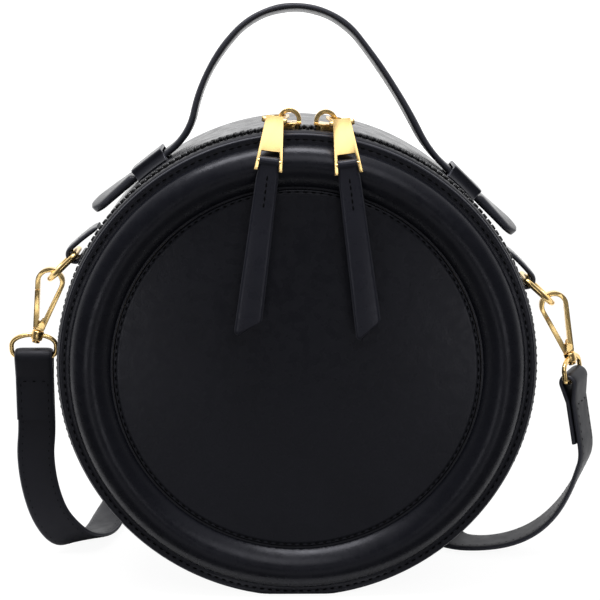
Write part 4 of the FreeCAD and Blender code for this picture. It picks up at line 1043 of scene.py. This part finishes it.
def shoulder_strap(ends):
    """The whole strap: a section carried along one spline, from the left end by the hank to the right end.

    A second spline, half a width to the side, gives the section's direction at each point.
    """
    half = strap_width / 2
    control = []
    edges = []
    for side, run in ((-1, left_run), (1, right_run)):
        depth = flap_sides[side] * strap_thickness / 2
        low = -loop_bar - flap_length
        shift = loop_shifts[side]
        marks = [(shift, depth, low), (shift, depth, low - fold_lead), (shift + half, depth, low)]
        marks = loop_place(marks, side)
        width = unit(marks[2] - marks[0])
        points = np.concatenate([marks[:2], [point for point, _ in run]])
        widths = np.concatenate([[width, width], [unit(np.array(item, float)) for _, item in run]])
        order = 1 if side < 0 else -1
        control.append(points[::order])
        edges.append(widths[::order])
    fold = hank_run / 2 + hank_pitch / 2
    rear = hank_y + 4 * hank_pitch
    inward = fold - hank_pitch
    hank = [(-hank_run / 2 - hank_lead, rear), (-hank_run / 2, rear)]
    for lap in range(4):
        side = -1 if lap % 2 else 1
        y = rear - lap * hank_pitch
        ahead = y - hank_pitch
        hank += [(side * inward, y), (side * fold, y), (side * fold, ahead), (side * inward, ahead)]
    hank += [(hank_first, hank_y), (hank_first + hank_lead, hank_y)]
    hank = np.array([(x, y, hank_z) for x, y in hank])
    control = np.concatenate([control[0], hank, control[1]])
    edges = np.concatenate([edges[0], np.broadcast_to((0.0, 0.0, 1.0), hank.shape), edges[1]])
    centres = spline_points(control)
    across = spline_points(control + edges * half) - centres
    body, _, across, out = strip(centres, across, half, strap_thickness / 2, edge=2)
    rows = []
    for edge in (-1, 1):
        for face in (-1, 1):
            line = centres + across * edge * (half - strap_row)
            line = line + out * face * (strap_thickness * 0.47 - stitch_dip)
            rows.append(row_along(line, out * face))
    strap = make("shoulder_strap", [body], [calf_strap, thread, edge_paint_with_highlight], "bag",
                 ["strap_left_run", "strap_right_run", "strap_hank"])
    sewn = make("shoulder_strap_stitches", rows, [calf_strap, thread], "bag")


def hank_tie():
    """The tie round the hank: a thin flat band on a superellipse loop."""
    low, high = (np.array(corner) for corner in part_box("strap_tie"))
    centre = (low + high) / 2
    half = (high - low) / 2 - tie_thickness / 2
    turn = np.linspace(0, math.tau, 96, endpoint=False)
    y = powered(np.cos(turn), 0.16) * half[1]
    z = powered(np.sin(turn), 0.16) * half[2]
    centres = centre + np.stack([0 * y, y, z], axis=-1)
    band = strip(centres, (1.0, 0.0, 0.0), tie_width / 2, tie_thickness / 2, wrap=True, edge=1)[0]
    return make("hank_tie_band", [band], [calf, edge_paint_with_highlight], "bag", ["strap_tie"])


def fittings():
    """The metal pieces: softened copies of the solids, and a finish for the small round ones."""
    soft = {
        "slider_": 0.00035, "pull_link_": 0.0004, "pull_plate_": 0.0004, "clasp_hook_": 0.0006,
        "clasp_gate_": 0.0004,
    }
    for side in SIDES:
        for start, width in soft.items():
            softened(start + side, width, gold)
    softened("zip_end_stops", 0.0004, gold)
    plain = {"pull_pin_": gold, "pull_bar_": gold, "clasp_rivet_": gold, "clasp_spring_": steel}
    for start, finish in plain.items():
        for side in SIDES:
            dress(start + side, finish)
    for panel in PANELS:
        dress(panel + "_board", board)
        dress(panel + "_lining", cloth)
    dress("gusset_lining", cloth)


def dress(cad_node, finish):
    """Give a CAD node that stays as it is its finish."""
    data = frame["nodes"][cad_node].data
    data.materials.clear()
    data.materials.append(finish)


def studio():
    """A white table and backdrop, lamps and dim cards, and the camera at the photograph's place."""
    eye_place = (-0.0052, -0.6821, 0.2604)
    eye_down = math.radians(12.01)
    eye_turn = math.radians(-0.56)
    scene = bpy.context.scene
    scene.view_settings.view_transform = "Standard"
    world = bpy.data.worlds.new("studio")
    scene.world = world
    world.use_nodes = True
    tree = world.node_tree
    tree.nodes.clear()
    place = node(tree, "ShaderNodeTexCoord").outputs["Generated"]
    heading = node(tree, "ShaderNodeSeparateXYZ", [("Vector", place)])
    behind = node(tree, "ShaderNodeMapRange", [("Value", heading.outputs["Y"]), ("From Min", -0.35),
                                               ("From Max", 0.45), ("To Min", 0.11), ("To Max", 1.4)],
                  interpolation_type="SMOOTHSTEP")
    over = node(tree, "ShaderNodeMapRange", [("Value", heading.outputs["Z"]), ("From Min", 0.35),
                                             ("From Max", 0.9), ("To Min", 0.0), ("To Max", 0.75)],
                interpolation_type="SMOOTHSTEP")
    glow = node(tree, "ShaderNodeMath", [(0, behind.outputs[0]), (1, over.outputs[0])], operation="MAXIMUM")
    seen = node(tree, "ShaderNodeLightPath")
    level = node(tree, "ShaderNodeMath", [(0, glow.outputs[0]), (1, seen.outputs["Is Camera Ray"])],
                 operation="MAXIMUM")
    light = node(tree, "ShaderNodeBackground", [("Color", linear("#ffffff")), ("Strength", level.outputs[0])])
    node(tree, "ShaderNodeOutputWorld", [("Surface", light.outputs[0])])

    finish = bpy.data.materials.new("white_table")
    finish.use_nodes = True
    tree = finish.node_tree
    tree.nodes.clear()
    paint = node(tree, "ShaderNodeBsdfDiffuse", [("Color", linear("#f4f4f4"))])
    veil = node(tree, "ShaderNodeBsdfDiffuse", [("Color", linear("#606060"))])
    glow = node(tree, "ShaderNodeEmission", [("Color", linear("#ffffff")), ("Strength", 0.94)])
    shown = node(tree, "ShaderNodeAddShader", [(0, veil.outputs[0]), (1, glow.outputs[0])])
    seen = node(tree, "ShaderNodeLightPath")
    surface = node(tree, "ShaderNodeMixShader", [(0, seen.outputs["Is Camera Ray"]), (1, paint.outputs[0]),
                                                 (2, shown.outputs[0])])
    node(tree, "ShaderNodeOutputMaterial", [("Surface", surface.outputs[0])])
    mesh = bpy.data.meshes.new("table")
    wide, near, far = 1.2, -0.048, 1.2
    mesh.from_pydata([(-wide, near, 0), (wide, near, 0), (wide, far, 0), (-wide, far, 0)], [], [(0, 1, 2, 3)])
    mesh.materials.append(finish)
    table = bpy.data.objects.new("table", mesh)
    scene.collection.objects.link(table)

    # A broad lamp overhead, a smaller one in front, and dim cards round the camera that the metal mirrors
    for name, size, energy, place, tilt in (
            ("overhead", (0.7, 0.3), 6.5, (-0.14, -0.15, 0.95), 0.0),
            ("front", (0.6, 0.4), 1.5, (0.18, -0.75, 0.68), 52.0),
            ("left card", (0.16, 0.12), 0.13, (-0.215, -0.60, 0.0), 90.0),
            ("right card", (0.16, 0.12), 0.13, (0.215, -0.60, 0.0), 90.0),
            ("middle card", (0.16, 0.07), 0.024, (0.0, -0.62, 0.15), 90.0),
            ("low card", (0.5, 0.25), 0.12, (0.0, -0.60, -0.18), 90.0)):
        lamp = bpy.data.lights.new(name, "AREA")
        lamp.shape = "RECTANGLE"
        lamp.size, lamp.size_y = size
        lamp.energy = energy
        holder = bpy.data.objects.new(name, lamp)
        holder.location = place
        holder.rotation_euler = (math.radians(tilt), 0, 0)
        scene.collection.objects.link(holder)

    camera = bpy.data.cameras.new("camera")
    camera.lens = 100.5
    camera.sensor_width = 36.0
    eye = bpy.data.objects.new("camera", camera)
    eye.location = eye_place
    eye.rotation_euler = (math.pi / 2 - eye_down, 0, eye_turn)
    scene.collection.objects.link(eye)
    scene.camera = eye


studio()
strap_ends = [strap_end(name, side) for name, side in SIDES.items()]
shoulder_strap(strap_ends + [hank_tie()])
for panel_name, panel_side in PANELS.items():
    padded_ring(panel_name, panel_side)
    inlay(panel_name, panel_side)
gusset_wall()
zip_chain()
for side_name, side_sign in SIDES.items():
    pull_tab(side_name)
    handle_end(side_name, side_sign)
    keeper(side_name, side_sign)
    ring_tab(side_name, side_sign)
    d_ring(side_name, side_sign)
    swivel_loop(side_name, side_sign)
handle()
fittings()
